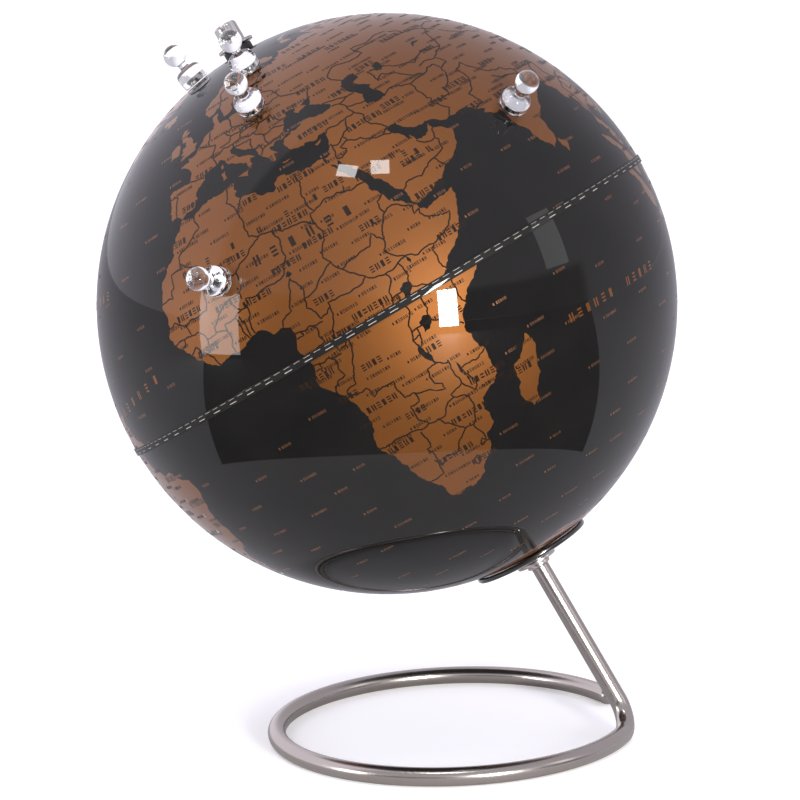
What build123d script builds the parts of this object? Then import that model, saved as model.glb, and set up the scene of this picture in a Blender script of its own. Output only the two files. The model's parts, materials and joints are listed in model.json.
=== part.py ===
from build123d import *
from math import atan, cos, radians, sin, sqrt, tan
import os

os.makedirs("parts", exist_ok=True)

# Desktop globe on a bent-rod stand, in millimetres and degrees.
# Frame: origin on the table at the centre of the stand's ring, +Z up, +X towards the foot of
# the stalk. The polar axis leans in the XZ plane, with its top towards -X.

# Globe
globe_radius = 125.0
shell_wall = 0.6
pole_hole_radius = 5.0
lip_height = 6.0          # how far the south half reaches into the north half
lip_root = 4.0            # how far the lip starts below the equator
lip_step = 2.0            # height of the step that ties the lip to its own half
lip_clearance = 0.05
band_width = 3.2
band_wall = 0.6
band_clearance = 0.03

# Axle and its bearings
axis_tilt = 28.5
axle_radius = 3.0
thread_radius = 2.5
thread_clearance = 0.05
running_clearance = 0.05  # radial, axle in its bushings
running_gap = 0.3         # axial, turning parts from fixed ones
seat_gap = 0.05           # between a flat face and the curved wall that it seats on
bushing_clearance = 0.05  # radial, bushing in its pole hole
bushing_collar_radius = 6.5
bushing_collar_height = 3.0
bushing_edge = 0.4
bushing_flange_radius = 8.0
bushing_flange_height = 2.0
bushing_depth = 8.0       # length inside the shell

# Finial at the north pole
top_washer_radius = 8.2
top_washer_thickness = 1.5
washer_edge = 0.4
cap_radius = 5.2
cap_height = 9.6
cap_rounding = 1.6
cap_thread_depth = 7.0
thread_end_gap = 0.5      # space past the end of a thread

# Dish, washer and collar at the south pole
dish_radius = 26.5
dish_wall = 2.3
dish_rim_rounding = 0.9
lower_washer_radius = 9.15
lower_washer_thickness = 1.6
collar_radius = 5.35
collar_height = 2.0
collar_edge = 0.4

# Stand, one bent rod
rod_radius = 4.0
ring_radius = 78.0        # centre line
bend_radius = 13.0        # centre line, from the stalk into the ring
stalk_length = 81.5       # from the corner of the bend to the top of the stalk
free_end_angle = 33.5     # where the open ring stops, from +X towards +Y
free_end_rounding = 3.2
stalk_thread_depth = 12.0

# Push-pin magnets
pin_base_radius = 6.0
pin_base_height = 8.0
pin_foot_rounding = 0.9
pin_shoulder_rounding = 3.0
pin_neck_radius = 2.0
pin_neck_rounding = 0.8
pin_ball_radius = 4.8
pin_height = 19.5
pin_gap = 0.3             # from the shell to the foot of a pin
magnet_radius = 4.0
magnet_thickness = 3.0
magnet_clearance = 0.05
magnet_edge = 0.3

# Each pin's latitude, and its turn about the polar axis from +X
pin_places = {
    "a": (78.9, -142.0),
    "b": (64.5, -77.0),
    "c": (50.6, -81.0),
    "d": (21.0, -31.0),
    "e": (20.2, -102.5),
}


def depth_on_sphere(radius, offset):
    """Height above its centre of a sphere's surface, at an offset from the axis."""
    return sqrt(radius**2 - offset**2)


# Levels along the polar axis, measured from the globe's centre
dish_inner = globe_radius + running_gap
dish_outer = dish_inner + dish_wall
thread_bore = thread_radius + thread_clearance
lower_shoulder = seat_gap - depth_on_sphere(dish_inner, axle_radius)
lower_washer_top = -depth_on_sphere(dish_outer, thread_bore) - seat_gap
collar_top = lower_washer_top - lower_washer_thickness
stalk_top = collar_top - collar_height
shell_top = depth_on_sphere(globe_radius, pole_hole_radius)
bushing_seat = shell_top + seat_gap
bushing_top = bushing_seat + bushing_collar_height
upper_shoulder = bushing_top + running_gap
cap_seat = upper_shoulder + top_washer_thickness

# The ring starts where the leg beyond the bend touches it
foot_leg = bend_radius + rod_radius
foot_angle = atan(foot_leg / ring_radius)
foot_corner = Vector(ring_radius / cos(foot_angle), 0, rod_radius)
polar_axis = Vector(-sin(radians(axis_tilt)), 0, cos(radians(axis_tilt)))
globe_centre = foot_corner + polar_axis * (stalk_length - stalk_top)
globe_frame = Plane(origin=globe_centre, x_dir=Vector(polar_axis.Z, 0, -polar_axis.X), z_dir=polar_axis)


def disc(radius, bottom, top):
    """A plain cylinder on the polar axis between two levels."""
    return Pos(0, 0, bottom) * Cylinder(radius, top - bottom, align=(Align.CENTER, Align.CENTER, Align.MIN))


def rim_edges(solid, radius):
    """The circular edges of a given radius, from the lowest to the highest."""
    circles = solid.edges().filter_by(GeomType.CIRCLE)
    return circles.filter_by(lambda edge: abs(edge.radius - radius) < 0.001).sort_by(Axis.Z)


def spherical_shell(outer, inner):
    """The wall between two spheres about the globe's centre."""
    return Sphere(outer) - Sphere(inner)


# ---- Globe: two half shells, and the band over their seam ----

def pole_hole(bottom, top):
    return disc(pole_hole_radius, bottom, top)


def make_north_hemisphere():
    wall = spherical_shell(globe_radius, globe_radius - shell_wall)
    half = split(wall, Plane.XY, keep=Keep.TOP)
    return half - pole_hole(0, 2 * globe_radius)


def make_south_hemisphere():
    inner = globe_radius - shell_wall
    wall = spherical_shell(globe_radius, inner)
    half = split(wall, Plane.XY, keep=Keep.BOTTOM)
    lip_outer = depth_on_sphere(inner, lip_height) - lip_clearance
    lip_inner = lip_outer - shell_wall
    lip = disc(lip_outer, -lip_root, lip_height)
    root = disc(globe_radius - shell_wall / 2, -lip_root, lip_step - lip_root)
    hollow = disc(lip_inner, -lip_root, lip_height)
    return half + (lip + root - hollow) - pole_hole(-2 * globe_radius, 0)


def make_equator_band():
    inner = globe_radius + band_clearance
    half_width = band_width / 2
    return disc(inner + band_wall, -half_width, half_width) - disc(inner, -half_width, half_width)


# ---- Bearings and axle ----

bushing_bore = axle_radius + running_clearance
bushing_barrel = pole_hole_radius - bushing_clearance


def make_upper_bushing():
    collar = disc(bushing_collar_radius, bushing_seat, bushing_top)
    collar = fillet(rim_edges(collar, bushing_collar_radius)[-1], bushing_edge)
    barrel = disc(bushing_barrel, shell_top - bushing_depth, bushing_seat)
    return collar + barrel - disc(bushing_bore, shell_top - bushing_depth, bushing_top)


def make_lower_bushing():
    flange_seat = seat_gap - depth_on_sphere(globe_radius - shell_wall, bushing_flange_radius)
    flange = disc(bushing_flange_radius, flange_seat, flange_seat + bushing_flange_height)
    barrel_top = -shell_top + bushing_depth
    barrel = disc(bushing_barrel, -shell_top, barrel_top)
    return flange + barrel - disc(bushing_bore, -shell_top, barrel_top)


def make_axle_rod():
    lower_thread = disc(thread_radius, stalk_top - stalk_thread_depth, lower_shoulder)
    upper_thread = disc(thread_radius, upper_shoulder, cap_seat + cap_thread_depth)
    return disc(axle_radius, lower_shoulder, upper_shoulder) + lower_thread + upper_thread


# ---- Finial at the north pole ----

def make_washer(radius, bottom, thickness):
    washer = disc(radius, bottom, bottom + thickness)
    washer = chamfer(rim_edges(washer, radius), washer_edge)
    return washer - disc(thread_bore, bottom, bottom + thickness)


def make_cap_nut():
    body = disc(cap_radius, cap_seat, cap_seat + cap_height)
    body = fillet(rim_edges(body, cap_radius)[-1], cap_rounding)
    return body - disc(thread_bore, cap_seat, cap_seat + cap_thread_depth + thread_end_gap)


# ---- Dish and collar at the south pole ----

def make_support_dish():
    wall = spherical_shell(dish_outer, dish_inner)
    cap = wall & disc(dish_radius, -dish_outer, 0)
    cap = fillet(rim_edges(cap, dish_radius), dish_rim_rounding)
    return cap - disc(thread_bore, -dish_outer, 0)


def make_lower_collar():
    collar = disc(collar_radius, stalk_top, collar_top)
    collar = chamfer(rim_edges(collar, collar_radius), collar_edge)
    return collar - disc(thread_bore, stalk_top, collar_top)


# ---- Stand ----

def ring_point(angle):
    return Vector(ring_radius * cos(angle), ring_radius * sin(angle), rod_radius)


def make_stand_frame():
    top = foot_corner + polar_axis * stalk_length
    ring_start = ring_point(-foot_angle)
    ring_end = ring_point(radians(free_end_angle))
    ring_far_side = ring_point(radians(180 + free_end_angle / 2))
    stalk = FilletPolyline(top, foot_corner, ring_start, radius=bend_radius)
    ring = ThreePointArc(ring_start, ring_far_side, ring_end)
    section = Plane(origin=top, z_dir=-polar_axis) * Circle(rod_radius)
    rod = sweep(section, path=Wire(stalk.edges() + ring.edges()))
    end_edge = rod.edges().sort_by(lambda edge: (edge.center() - ring_end).length)[0]
    rod = fillet(end_edge, free_end_rounding)
    bore_depth = stalk_thread_depth + thread_end_gap
    bore = Plane(origin=top, z_dir=-polar_axis) * Cylinder(thread_bore, 2 * bore_depth)
    return rod - bore


# ---- Push pins, made standing on the XY plane ----

def make_pin_grip():
    base = Cylinder(pin_base_radius, pin_base_height, align=(Align.CENTER, Align.CENTER, Align.MIN))
    rims = rim_edges(base, pin_base_radius)
    base = fillet(rims[-1], pin_shoulder_rounding)
    base = fillet(rim_edges(base, pin_base_radius)[0], pin_foot_rounding)
    ball_level = pin_height - pin_ball_radius
    neck = disc(pin_neck_radius, pin_base_height / 2, ball_level)
    grip = base + neck + Pos(0, 0, ball_level) * Sphere(pin_ball_radius)
    grip = fillet(rim_edges(grip, pin_neck_radius), pin_neck_rounding)
    pocket_depth = magnet_thickness + magnet_clearance
    return grip - disc(magnet_radius + magnet_clearance, 0, pocket_depth)


def make_pin_magnet():
    magnet = disc(magnet_radius, 0, magnet_thickness)
    return chamfer(rim_edges(magnet, magnet_radius), magnet_edge)


def on_globe(latitude, turn, solid):
    """Stands a solid on the shell, pointing straight out."""
    lift = Pos(0, 0, globe_radius + pin_gap)
    return globe_frame.location * Rot(0, 0, turn) * Rot(0, 90 - latitude, 0) * lift * solid


def on_axis(solid):
    """Moves a solid from the polar axis's own frame to its place."""
    return globe_frame.location * solid


nodes = {
    "stand_frame": make_stand_frame(),
    "axle_rod": on_axis(make_axle_rod()),
    "lower_collar": on_axis(make_lower_collar()),
    "lower_flange_washer": on_axis(make_washer(lower_washer_radius, collar_top, lower_washer_thickness)),
    "support_dish": on_axis(make_support_dish()),
    "lower_bushing": on_axis(make_lower_bushing()),
    "south_hemisphere": on_axis(make_south_hemisphere()),
    "north_hemisphere": on_axis(make_north_hemisphere()),
    "equator_band": on_axis(make_equator_band()),
    "upper_bushing": on_axis(make_upper_bushing()),
    "top_flange_washer": on_axis(make_washer(top_washer_radius, upper_shoulder, top_washer_thickness)),
    "cap_nut": on_axis(make_cap_nut()),
}
for name, (latitude, turn) in pin_places.items():
    nodes[f"pin_{name}_grip"] = on_globe(latitude, turn, make_pin_grip())
    nodes[f"pin_{name}_magnet"] = on_globe(latitude, turn, make_pin_magnet())

for name, solid in nodes.items():
    export_step(solid, f"parts/{name}.step")
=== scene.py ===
# %% [markdown]
# # A black and copper desk globe
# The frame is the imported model: every piece at its real size, in metres, in one shared frame.
# Everything below is placed from it. The globe turns on the joint `globe_spin`, so that joint
# gives the globe's centre and the lean of its polar axis.

# %% Load the frame
import json
import math
import random

import bmesh
import bpy
import numpy as np
from mathutils import Matrix, Vector
from mathutils.geometry import delaunay_2d_cdt

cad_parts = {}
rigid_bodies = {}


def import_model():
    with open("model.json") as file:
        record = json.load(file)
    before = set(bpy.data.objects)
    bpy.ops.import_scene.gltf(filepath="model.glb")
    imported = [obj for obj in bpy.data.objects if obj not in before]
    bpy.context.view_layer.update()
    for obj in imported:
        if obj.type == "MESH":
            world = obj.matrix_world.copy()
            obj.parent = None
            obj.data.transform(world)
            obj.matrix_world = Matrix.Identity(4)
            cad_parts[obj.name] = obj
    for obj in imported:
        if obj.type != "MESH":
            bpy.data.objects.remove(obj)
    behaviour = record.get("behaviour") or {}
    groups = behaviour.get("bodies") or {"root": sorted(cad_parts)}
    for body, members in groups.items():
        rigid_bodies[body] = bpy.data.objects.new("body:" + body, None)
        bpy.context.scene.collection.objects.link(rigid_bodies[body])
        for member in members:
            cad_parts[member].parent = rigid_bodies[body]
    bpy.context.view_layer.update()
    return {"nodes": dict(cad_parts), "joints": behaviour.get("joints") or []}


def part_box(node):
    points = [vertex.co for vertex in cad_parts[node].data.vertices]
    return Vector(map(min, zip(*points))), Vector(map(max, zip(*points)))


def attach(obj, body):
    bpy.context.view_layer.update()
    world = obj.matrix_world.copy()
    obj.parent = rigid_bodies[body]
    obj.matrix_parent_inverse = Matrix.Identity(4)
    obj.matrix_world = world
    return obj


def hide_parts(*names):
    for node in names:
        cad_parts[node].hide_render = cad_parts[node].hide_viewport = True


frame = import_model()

MM = 0.001
spin = next(joint for joint in frame["joints"] if joint["name"] == "globe_spin")
polar_axis = Vector(spin["axis"]).normalized()
globe_centre = Vector(spin["pos_m"])
local_x = Vector((polar_axis.z, 0, -polar_axis.x))
local_y = polar_axis.cross(local_x)
globe_place = Matrix((local_x, local_y, polar_axis)).transposed().to_4x4()
globe_place.translation = globe_centre

shell_low, shell_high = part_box("north_hemisphere")
GLOBE_RADIUS = (shell_high.y - shell_low.y) / 2
SHELL_WALL = 0.6 * MM
POLE_HOLE = 5.0 * MM
print(f"globe radius {GLOBE_RADIUS / MM:.2f} mm, centre {tuple(round(c, 4) for c in globe_centre)}")

# %% [markdown]
# ## A small language for node trees
# Shader maths reads best as maths. `Wire` wraps one socket and overloads Python's operators, so
# `1 - mask * 0.3` adds its own Math nodes. `Graph` adds any other node in one call: its settings
# are set first, then its inputs, by name or by number. The same two classes build the shader
# trees and the Geometry Nodes trees.

# %% Wires and graphs
class Wire:
    """A socket that can be added, multiplied and compared in Python."""

    def __init__(self, graph, socket):
        self.graph = graph
        self.socket = socket

    def math(self, operation, *values):
        node = self.graph.node("ShaderNodeMath", {"operation": operation})
        for socket, value in zip(node.inputs, values):
            self.graph.plug(socket, value)
        return Wire(self.graph, node.outputs[0])

    def __add__(self, other):
        return self.math("ADD", self, other)

    def __sub__(self, other):
        return self.math("SUBTRACT", self, other)

    def __rsub__(self, other):
        return self.math("SUBTRACT", other, self)

    def __mul__(self, other):
        return self.math("MULTIPLY", self, other)

    def __truediv__(self, other):
        return self.math("DIVIDE", self, other)

    def __pow__(self, other):
        return self.math("POWER", self, other)

    __radd__ = __add__
    __rmul__ = __mul__

    def larger(self, other):
        return self.math("MAXIMUM", self, other)

    def above(self, edge, width):
        """0 below an edge and 1 above it, over a soft width."""
        node = self.graph.node("ShaderNodeMapRange", {"interpolation_type": "SMOOTHSTEP"},
                               {0: self, 1: edge - width / 2, 2: edge + width / 2})
        return Wire(self.graph, node.outputs[0])


class Graph:
    """A node tree that is filled in by calls."""

    def __init__(self, tree):
        self.tree = tree

    def plug(self, socket, value):
        """A link where the value is a wire, or else the socket's own number."""
        if isinstance(value, Wire):
            self.tree.links.new(value.socket, socket)
        else:
            socket.default_value = value

    def node(self, kind, settings=None, inputs=None):
        """A node of a type, with its settings and then its inputs."""
        node = self.tree.nodes.new(kind)
        for name, value in (settings or {}).items():
            setattr(node, name, value)
        for name, value in (inputs or {}).items():
            self.plug(node.inputs[name], value)
        return node

    def out(self, kind, settings=None, inputs=None, output=0):
        return Wire(self, self.node(kind, settings, inputs).outputs[output])


# %% [markdown]
# ## Finishes
# Each material is a Principled shader whose fixed numbers sit on its own sockets. Only colour,
# roughness, coat weight and the bump vary over a surface, from noise in object coordinates or
# along the piece's own UV map, so that every finish keeps its grain.

# %% One helper for every finish
class Finish(Graph):
    """A material with one Principled shader."""

    def __init__(self, name, **fixed):
        self.material = bpy.data.materials.new(name)
        self.material.use_nodes = True
        super().__init__(self.material.node_tree)
        self.shader = self.tree.nodes["Principled BSDF"]
        for socket, value in fixed.items():
            self.shader.inputs[socket.replace("_", " ")].default_value = value

    def place(self):
        return self.out("ShaderNodeTexCoord", output="Object")

    def noise(self, scale, detail=2.0, roughness=0.5, where=None):
        inputs = {"Vector": where or self.place(), "Scale": scale, "Detail": detail, "Roughness": roughness}
        return self.out("ShaderNodeTexNoise", inputs=inputs)

    def stretched(self, scale, source="Object"):
        """Coordinates squeezed or stretched by three factors."""
        where = self.out("ShaderNodeTexCoord", output=source)
        return self.out("ShaderNodeMapping", inputs={"Vector": where, "Scale": scale})

    def mix(self, factor, dark, light):
        """Two colours by a factor."""
        return self.out("ShaderNodeMix", {"data_type": "RGBA"}, {0: factor, 6: (*dark, 1), 7: (*light, 1)}, 2)

    def vary(self, **sockets):
        for socket, value in sockets.items():
            self.plug(self.shader.inputs[socket.replace("_", " ")], value)

    def bump(self, height, strength, distance):
        inputs = {"Height": height, "Strength": strength, "Distance": distance}
        self.vary(Normal=self.out("ShaderNodeBump", inputs=inputs))


# %% [markdown]
# The shell is printed steel under a thick gloss lacquer. The sea is black ink. The land is a
# copper-coloured metallic ink, rougher than the lacquer above it, so the light spreads in the
# ink while the window reflections stay sharp in the coat. The lacquer has a trace of
# orange-peel, much finer than the ink's mottling.

# %% Printed shell
def lacquer(finish):
    """The clear coat that all the print shares."""
    finish.shader.inputs["Coat Roughness"].default_value = 0.02
    finish.shader.inputs["Coat IOR"].default_value = 1.5
    finish.vary(Coat_Weight=0.69 + 0.06 * finish.noise(60.0))
    finish.bump(finish.noise(140.0, 1.0), 0.02, 0.0002)


def black_ink():
    finish = Finish("black_sea_ink", Specular_IOR_Level=0.0)
    mottle = finish.noise(45.0, 3.0)
    finish.vary(Base_Color=finish.mix(mottle, (0.0045, 0.0042, 0.0040), (0.0085, 0.0080, 0.0072)))
    finish.vary(Roughness=0.42 + 0.12 * finish.noise(220.0))
    lacquer(finish)
    return finish.material


def copper_ink():
    finish = Finish("copper_land_ink", Metallic=0.78)
    cloud = finish.noise(14.0, 3.0)
    flake = finish.noise(2600.0, 1.0)
    ink = finish.mix(cloud * 0.7 + flake * 0.3, (0.160, 0.052, 0.0075), (0.226, 0.079, 0.0125))
    finish.vary(Base_Color=ink, Roughness=0.46 + 0.12 * flake)
    lacquer(finish)
    return finish.material


def line_ink():
    finish = Finish("dark_line_ink", Specular_IOR_Level=0.0)
    finish.vary(Base_Color=finish.mix(finish.noise(300.0), (0.008, 0.005, 0.003), (0.020, 0.011, 0.007)))
    finish.vary(Roughness=0.35 + 0.1 * finish.noise(500.0))
    lacquer(finish)
    return finish.material


def faint_copper_ink():
    finish = Finish("faint_copper_ink", Metallic=0.6)
    finish.vary(Base_Color=finish.mix(finish.noise(120.0), (0.090, 0.038, 0.016), (0.190, 0.078, 0.032)))
    finish.vary(Roughness=0.40 + 0.1 * finish.noise(500.0))
    lacquer(finish)
    return finish.material


def bare_steel():
    finish = Finish("bare_steel_inside", Metallic=1.0)
    finish.vary(Base_Color=finish.mix(finish.noise(30.0, 4.0), (0.28, 0.27, 0.26), (0.42, 0.41, 0.40)))
    finish.vary(Roughness=0.42 + 0.2 * finish.noise(90.0))
    return finish.material


# %% [markdown]
# The stand and the small turned parts are nickel plated and satin brushed. On the rod the
# brushing runs round it, as a belt leaves it, so its noise is stretched along the UV map that
# the rod gets from its own sweep. Broad brownish clouds in the plate's colour are painted
# reflection. The finial's long light and dark streaks from end to end are painted reflections.

# %% Metals
def brushed_nickel(name, scale, source, tint=(0.0, 0.0, 0.0)):
    """Satin plate: broad warm clouds of painted reflection under a fine grain, brushed along its coordinates."""
    finish = Finish(name, Metallic=1.0, Anisotropic=0.35)
    grain = finish.noise(1.0, 3.0, 0.6, finish.stretched(scale, source))
    painted_reflection_clouds = finish.noise(18.0, 2.0)
    dark = tuple(c + t for c, t in zip((0.40, 0.345, 0.30), tint))
    light = tuple(c + t for c, t in zip((0.56, 0.525, 0.50), tint))
    # Base colour: the broad brownish clouds are painted reflection; the fine grain is the real brushing.
    finish.vary(Base_Color=finish.mix(grain * 0.3 + painted_reflection_clouds * 0.7, dark, light))
    finish.vary(Roughness=0.18 + 0.07 * grain)
    finish.bump(grain, 0.03, 0.00005)
    return finish.material


def finial_nickel():
    """Turned bright, then drawn lengthwise for a fine grain; its long light and dark streaks are painted
    reflections.
    """
    finish = Finish("satin_nickel_finial", Metallic=1.0)
    painted_reflection_streak = finish.noise(1.0, 2.0, 0.5, finish.stretched((15.0, 0.0, 1.0), "UV")).above(0.5, 0.16)
    fine = finish.noise(1.0, 2.0, 0.6, finish.stretched((160.0, 0.0, 1.0), "UV"))
    # Painted reflection: the long light and dark streaks in the base colour.
    finish.vary(Base_Color=finish.mix(painted_reflection_streak * 0.75 + fine * 0.25, (0.34, 0.32, 0.30), (0.94, 0.92, 0.90)))
    finish.vary(Roughness=0.16 + 0.14 * fine)
    finish.bump(fine, 0.15, 0.00005)
    return finish.material


def magnet_nickel():
    """Thin plating on a sintered disc, bright, with dark blotches of painted reflection."""
    finish = Finish("magnet_nickel", Metallic=1.0)
    painted_reflection_blotch = finish.noise(620.0, 1.0).above(0.47, 0.12)
    # Painted reflection: dark blotches on the bright plate.
    finish.vary(Base_Color=finish.mix(painted_reflection_blotch, (0.06, 0.06, 0.06), (0.60, 0.59, 0.57)))
    finish.vary(Roughness=0.16 + 0.1 * finish.noise(900.0))
    return finish.material


# %% [markdown]
# Black plastics differ only in polish. The pins are clear acrylic: full transmission at the
# index of acrylic, with faint haze from handling.

# %% Plastics
def black_plastic(name, polish, coat):
    """Moulded black plastic: a polish, and how much of a gloss skin it has."""
    finish = Finish(name, Coat_Roughness=0.03)
    finish.vary(Base_Color=finish.mix(finish.noise(80.0), (0.006, 0.006, 0.006), (0.014, 0.013, 0.012)))
    finish.vary(Roughness=polish + 0.1 * finish.noise(400.0), Coat_Weight=coat + 0.05 * finish.noise(50.0))
    finish.bump(finish.noise(900.0), 0.03, 0.0001)
    return finish.material


def band_black():
    """The band is matt tape, duller than the lacquered shell."""
    finish = Finish("black_scale_band", Specular_IOR_Level=0.08, Coat_Roughness=0.04)
    finish.vary(Base_Color=finish.mix(finish.noise(80.0), (0.006, 0.006, 0.005), (0.013, 0.012, 0.010)))
    finish.vary(Roughness=0.5 + 0.1 * finish.noise(400.0), Coat_Weight=0.3 + 0.1 * finish.noise(50.0))
    finish.bump(finish.noise(900.0), 0.03, 0.0001)
    return finish.material


def white_ink():
    finish = Finish("white_scale_ink", Specular_IOR_Level=0.3)
    finish.vary(Base_Color=finish.mix(finish.noise(200.0), (0.24, 0.23, 0.21), (0.38, 0.36, 0.33)))
    finish.vary(Roughness=0.3 + 0.1 * finish.noise(500.0))
    return finish.material


def clear_acrylic():
    finish = Finish("clear_acrylic", Transmission_Weight=1.0, IOR=1.49)
    finish.vary(Base_Color=finish.mix(finish.noise(60.0), (0.96, 0.97, 0.975), (1.0, 1.0, 1.0)))
    finish.vary(Roughness=0.01 + 0.025 * finish.noise(300.0))
    return finish.material


SEA = black_ink()
LAND = copper_ink()
LINE = line_ink()
FAINT = faint_copper_ink()
INSIDE = bare_steel()
BAND_BLACK = band_black()
WHITE = white_ink()
ROD_FINISH = brushed_nickel("satin_nickel_rod", (9000.0, 3.0, 1.0), "UV")
TURNED = brushed_nickel("satin_nickel_turned", (400.0, 400.0, 400.0), "Object", (0.16, 0.155, 0.15))
CAP = finial_nickel()
MAGNET_FINISH = magnet_nickel()
GLOSS = black_plastic("black_gloss_plastic", 0.18, 0.9)
BEARING = black_plastic("black_bearing_plastic", 0.4, 0.1)
ACRYLIC = clear_acrylic()
print(len(bpy.data.materials), "finishes")

# %% [markdown]
# ## The map
# The print is an ordinary political map in two colours: copper land, black sea. A coastline is
# best drawn once, as a short list of longitude and latitude pairs at its capes and
# bays. The finer wriggle of a coast is the same everywhere, so it is added afterwards by
# halving each stretch and nudging its middle, with a fixed seed.

# %% Reading an outline
def points(text):
    """'12 41, 13 42' as a list of (longitude, latitude) pairs."""
    return [tuple(float(number) for number in pair.split()) for pair in text.replace("\n", " ").split(",")]


def outlines(text):
    """Several outlines, parted by semicolons."""
    return [points(part) for part in text.split(";")]


# %% Africa and its islands
AFRICA = outlines("""-6 35.8,-5.3 35.9,-3 35.3,-2 35.1,-1 35.7,1.3 36.5,3 36.9,5 36.8,8.6 36.9,9.8 37.3,11 37.1,
10.5 36.2,10.6 35.5,11.1 35.2,10.2 34.3,11.2 33.2,13.2 32.9,15.2 32.4,15.8 31.4,17.9 30.9,19 30.3,20 30.9,
20 32,21.6 32.9,23.1 32.6,23.2 32.2,25 31.9,27 31.2,29 30.9,30 31.3,31 31.5,32.3 31.2,32.4 29.9,33.1 28.5,
33.6 27.8,34 26.5,35 24.8,35.6 23.9,36.9 22,37.2 21,37.2 19.5,38.5 18,39.5 15.6,41 14.7,42.5 13.2,43.2 12.4,
43.3 11.5,44.5 10.5,47 11.2,49 11.3,51.2 11.9,51.1 10.4,50.5 9,49.8 7.8,48.5 5.5,48 4.5,46 2.4,44 1,
42.5 -0.4,41.5 -1.7,40.2 -2.7,39.4 -4.6,38.8 -6,39.5 -7,39.4 -8.5,40.6 -10.7,40.5 -13,40.8 -15,39.8 -16.5,
37.9 -17.4,36.8 -18,35 -19.8,34.8 -20.8,35.5 -22,35.5 -24,33 -25.3,32.7 -26,32.8 -27.5,32.2 -28.7,31 -29.9,
28.5 -32.6,27 -33.5,25.7 -34,22 -34.1,20 -34.8,18.8 -34.2,18.3 -33.9,18 -32.8,18.2 -31.7,17 -29.7,16.4 -28.6,
15.2 -27,14.8 -25.5,14.5 -22.9,13.5 -20.8,12.5 -18.6,11.8 -17.2,11.8 -16,12.5 -14,13.6 -12.3,13.8 -10.7,
13.2 -8.8,12.3 -6.1,12 -5,11.2 -3.9,9.6 -2.4,8.8 -0.7,9.3 0.4,9.6 1,9.8 3,9.6 4,8.5 4.6,7 4.4,6 4.3,5 5.8,
4.3 6.3,2.7 6.3,1.2 6,0 5.6,-2 4.8,-4 5.2,-6 4.8,-7.5 4.4,-9 5,-10.8 6.3,-12.5 7.5,-13.2 8.8,-13.7 9.6,
-15 11,-16.7 12.4,-16.8 13.4,-17.5 14.7,-16.5 16,-16.2 18,-17 21,-16.3 22.5,-15.7 23.9,-14.5 26.1,-13 27.8,
-11 28.8,-9.8 29.7,-9.7 31.4,-8.5 33.2,-6.8 34.1;
49.3 -12,50.3 -15.5,49.5 -18,48 -22,47.1 -24.9,45.3 -25.6,43.7 -23.5,43.3 -22,44.4 -20,44 -17.5,44.5 -16.2,
46.3 -15.8,48 -13.5""")

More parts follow.
